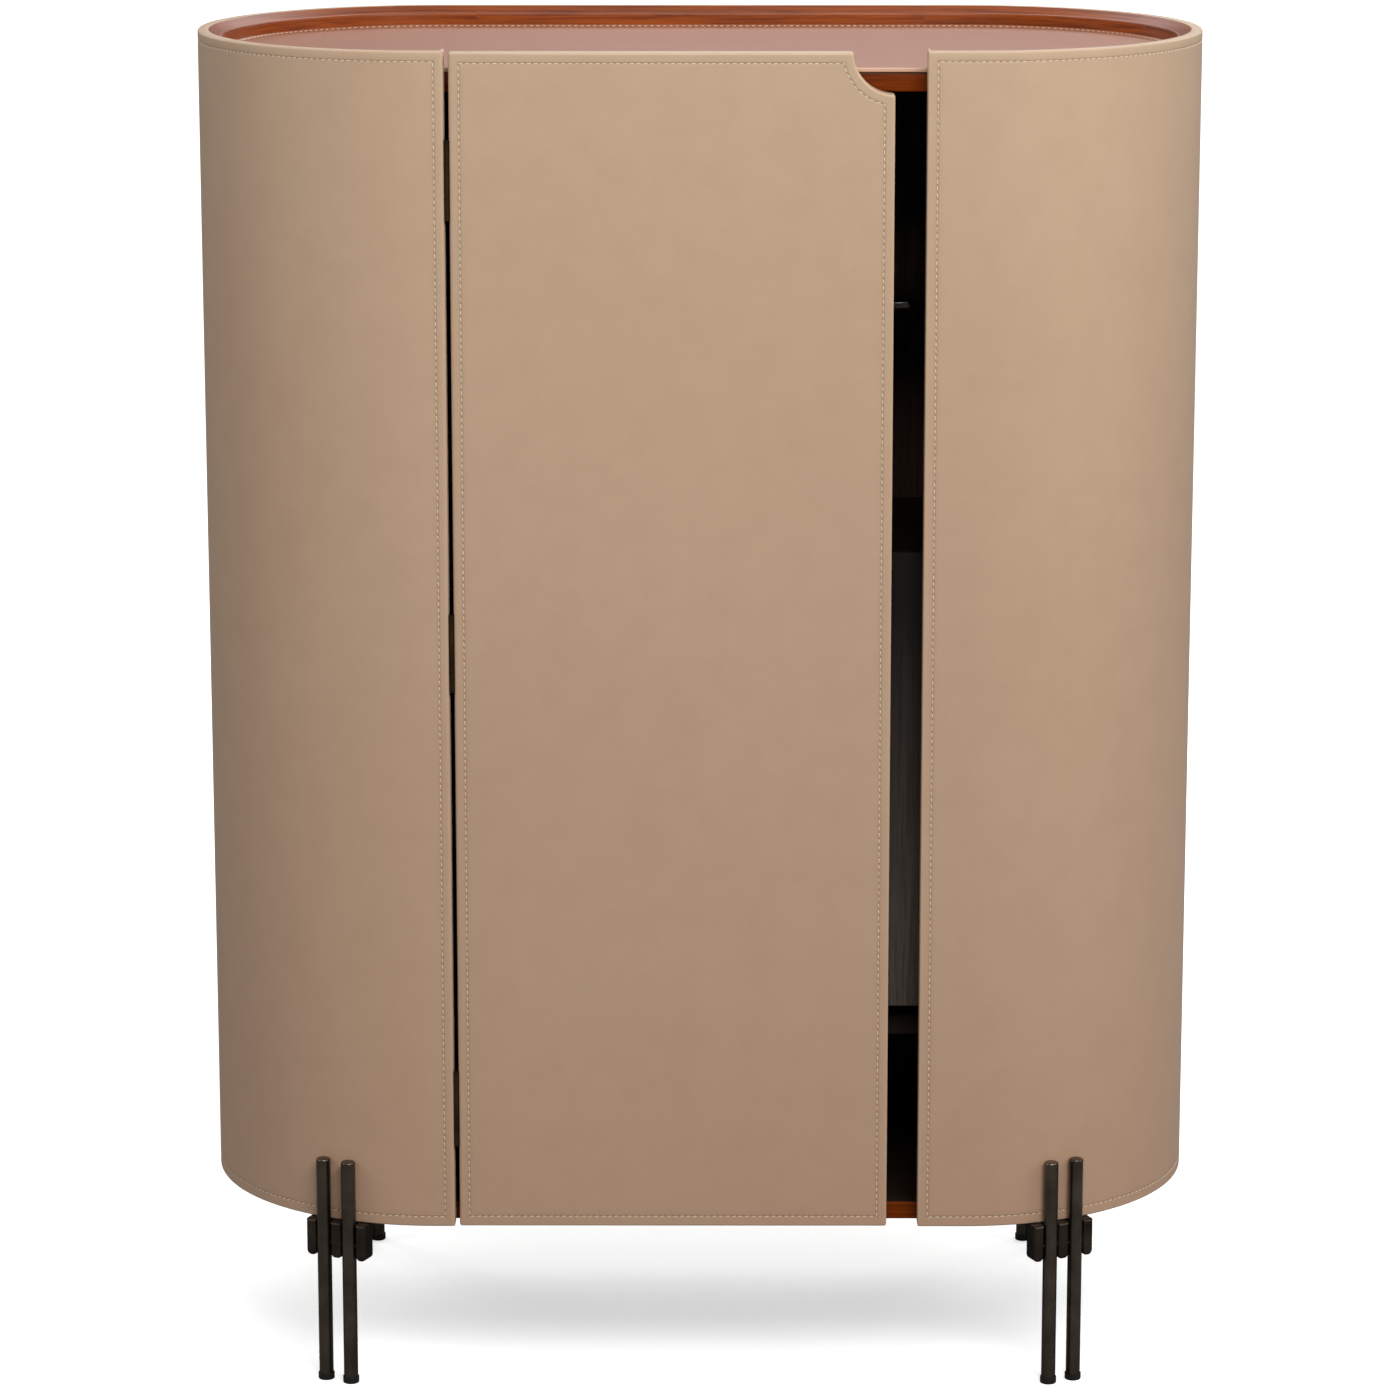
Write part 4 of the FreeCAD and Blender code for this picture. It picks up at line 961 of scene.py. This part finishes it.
class CABINET_OT_hardware(Operator):
    """Finish the walls' plywood, the door core, the fold-out shelf, legs, hinges, catch, pins and screws"""
    bl_idname = "cabinet.hardware"
    bl_label = "Legs and Hardware"

    def execute(self, context):
        for name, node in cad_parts.items():
            if node.hide_render:
                continue
            if name.endswith("_rod"):
                dress(turned_bar(name), "cabinet", "dark_steel", "bronzed_bar")
            elif name.endswith("_bracket"):
                coat_with(node, "bronzed_casting")
            elif name.endswith("_board"):
                coat_with(node, "inside_veneer")
            else:
                coat_with(node, SOLID_FINISH.get(name, "burnished_brass"))
        return {"FINISHED"}


LAMPS = (       # name, place, height of what it faces on the middle line, size, share of the key's power
    ("key_lamp", (0.8, -2.7, 3.0), 0.85, (2.0, 1.3), 1.0),
    ("left_lamp", (-3.0, -0.7, 2.5), 0.8, (1.2, 1.6), 0.21),
    ("right_lamp", (3.0, -0.7, 2.5), 0.8, (1.2, 1.6), 0.27),
    ("rear_lamp", (0.4, 2.6, 3.0), 0.9, (2.0, 1.3), 0.32),
    ("rear_left_lamp", (-2.6, 2.5, 2.4), 0.8, (1.2, 1.4), 0.24),
    ("rear_right_lamp", (2.6, 2.5, 2.4), 0.8, (1.2, 1.4), 0.24),
)


class CABINET_OT_stage(Operator):
    """Set up the floor, the backdrop, the lamps and the camera"""
    bl_idname = "cabinet.stage"
    bl_label = "Stage"

    def execute(self, context):
        stage = settings("stage")
        self.backdrop()
        for name, at, height, size, share in LAMPS:
            self.light(name, at, height, size, stage.key * share)
        world = bpy.data.worlds.new("studio")
        context.scene.world = world
        world.use_nodes = True
        tree = world.node_tree
        strength = add(tree, "ShaderNodeMapRange", {"Value": self.seen(tree), "To Min": stage.world,
                                                    "To Max": 1.0})
        fill(tree.nodes["Background"], {"Color": (1, 1, 1, 1), "Strength": strength.outputs[0]})
        self.camera(stage)
        context.scene.view_settings.view_transform = "Standard"
        return {"FINISHED"}

    def backdrop(self):
        """Floor that curves up into a wall: a floor run, a quarter circle and an upright, carried along X."""
        radius, far, near, tall, half = 1.5, 6.5, -9.0, 7.0, 14.0
        profile = np.concatenate([[(near, 0), (0, 0), (far - radius, 0)],
                                  corner((far - radius, radius), radius, -90, 0, 24), [(far, tall)]])
        across = np.linspace(-half, half, 15)
        floor = surface("studio_floor", flat_place(across, profile[:, :1], profile[:, 1:]))
        tree, shader = finish("seamless_paper")
        fill(shader, {"Base Color": colour("#E9E9E8"), "Roughness": 0.9})
        bounce = add(tree, "ShaderNodeBsdfDiffuse", {"Color": colour("#7E7E7D")})
        away = add(tree, "ShaderNodeVectorMath", {0: add(tree, "ShaderNodeTexCoord").outputs["Object"]},
                   operation="LENGTH")
        rise = add(tree, "ShaderNodeMapRange", {"Value": away.outputs["Value"], "From Min": 0.7,
                                                "From Max": 2.6, "To Min": 0.6, "To Max": 1.0})
        glow = add(tree, "ShaderNodeEmission", {"Color": (1, 1, 1, 1), "Strength": rise.outputs[0]})
        lit = add(tree, "ShaderNodeAddShader", {0: shader.outputs[0], 1: glow.outputs[0]})
        mixed = add(tree, "ShaderNodeMixShader", {0: self.seen(tree), 1: bounce.outputs[0],
                                                  2: lit.outputs[0]})
        fill(tree.nodes["Material Output"], {"Surface": mixed.outputs[0]})
        coat_with(floor, "seamless_paper")

    def seen(self, tree):
        """1 for rays that reach the camera straight or through glass, 0 for all that light the object."""
        path = add(tree, "ShaderNodeLightPath")
        either = add(tree, "ShaderNodeMath", {0: path.outputs["Is Camera Ray"],
                                              1: path.outputs["Is Transmission Ray"]}, operation="MAXIMUM")
        return either.outputs[0]

    def light(self, name, at, height, size, power):
        """Rectangular soft lamp that faces a point on the body's middle line."""
        lamp = bpy.data.lights.new(name, "AREA")
        lamp.shape = "RECTANGLE"
        lamp.size, lamp.size_y = size
        lamp.energy = power
        holder = link(name, lamp)
        holder.location = at
        holder.rotation_euler = Vector((-at[0], -at[1], height - at[2])).to_track_quat("-Z", "Y").to_euler()

    def camera(self, stage):
        """Camera on a circle round the body, turned and tilted towards it."""
        lens = bpy.data.cameras.new("camera")
        lens.sensor_width = 36
        lens.lens = stage.lens
        lens.clip_end = 60
        holder = link("camera", lens)
        holder.location = (stage.distance * math.sin(stage.turn), -stage.distance * math.cos(stage.turn),
                           stage.height)
        holder.rotation_euler = (math.radians(90) - stage.tilt, 0, stage.turn)
        bpy.context.scene.camera = holder


class CABINET_PT_panel(Panel):
    """Lists the steps that build the cabinet"""
    bl_idname = "CABINET_PT_panel"
    bl_label = "Bar Cabinet"
    bl_space_type = "VIEW_3D"
    bl_region_type = "UI"
    bl_category = "Cabinet"

    def draw(self, context):
        for kind in ("leather", "wood", "stage"):
            group = settings(kind)
            box = self.layout.box()
            for key in group.bl_rna.properties.keys():
                if key not in ("rna_type", "name"):
                    box.prop(group, key)
        for step in STEPS:
            self.layout.operator(step.bl_idname)


STEPS = (CABINET_OT_finishes, CABINET_OT_walls, CABINET_OT_rims, CABINET_OT_tray, CABINET_OT_door,
         CABINET_OT_boards, CABINET_OT_hardware, CABINET_OT_stage)
GROUPS = {"cabinet_leather": LeatherSettings, "cabinet_wood": WoodSettings, "cabinet_stage": StageSettings}


def register():
    for group in GROUPS.values():
        bpy.utils.register_class(group)
    for key, group in GROUPS.items():
        setattr(bpy.types.Scene, key, PointerProperty(type=group))
    for step in STEPS:
        bpy.utils.register_class(step)
    bpy.utils.register_class(CABINET_PT_panel)


def unregister():
    bpy.utils.unregister_class(CABINET_PT_panel)
    for step in reversed(STEPS):
        bpy.utils.unregister_class(step)
    for key, group in GROUPS.items():
        delattr(bpy.types.Scene, key)
        bpy.utils.unregister_class(group)


def main():
    register()
    bpy.ops.cabinet.finishes()
    bpy.ops.cabinet.walls()
    bpy.ops.cabinet.rims()
    bpy.ops.cabinet.tray()
    bpy.ops.cabinet.door()
    bpy.ops.cabinet.boards()
    bpy.ops.cabinet.hardware()
    bpy.ops.cabinet.stage()


if __name__ == "__main__":
    main()
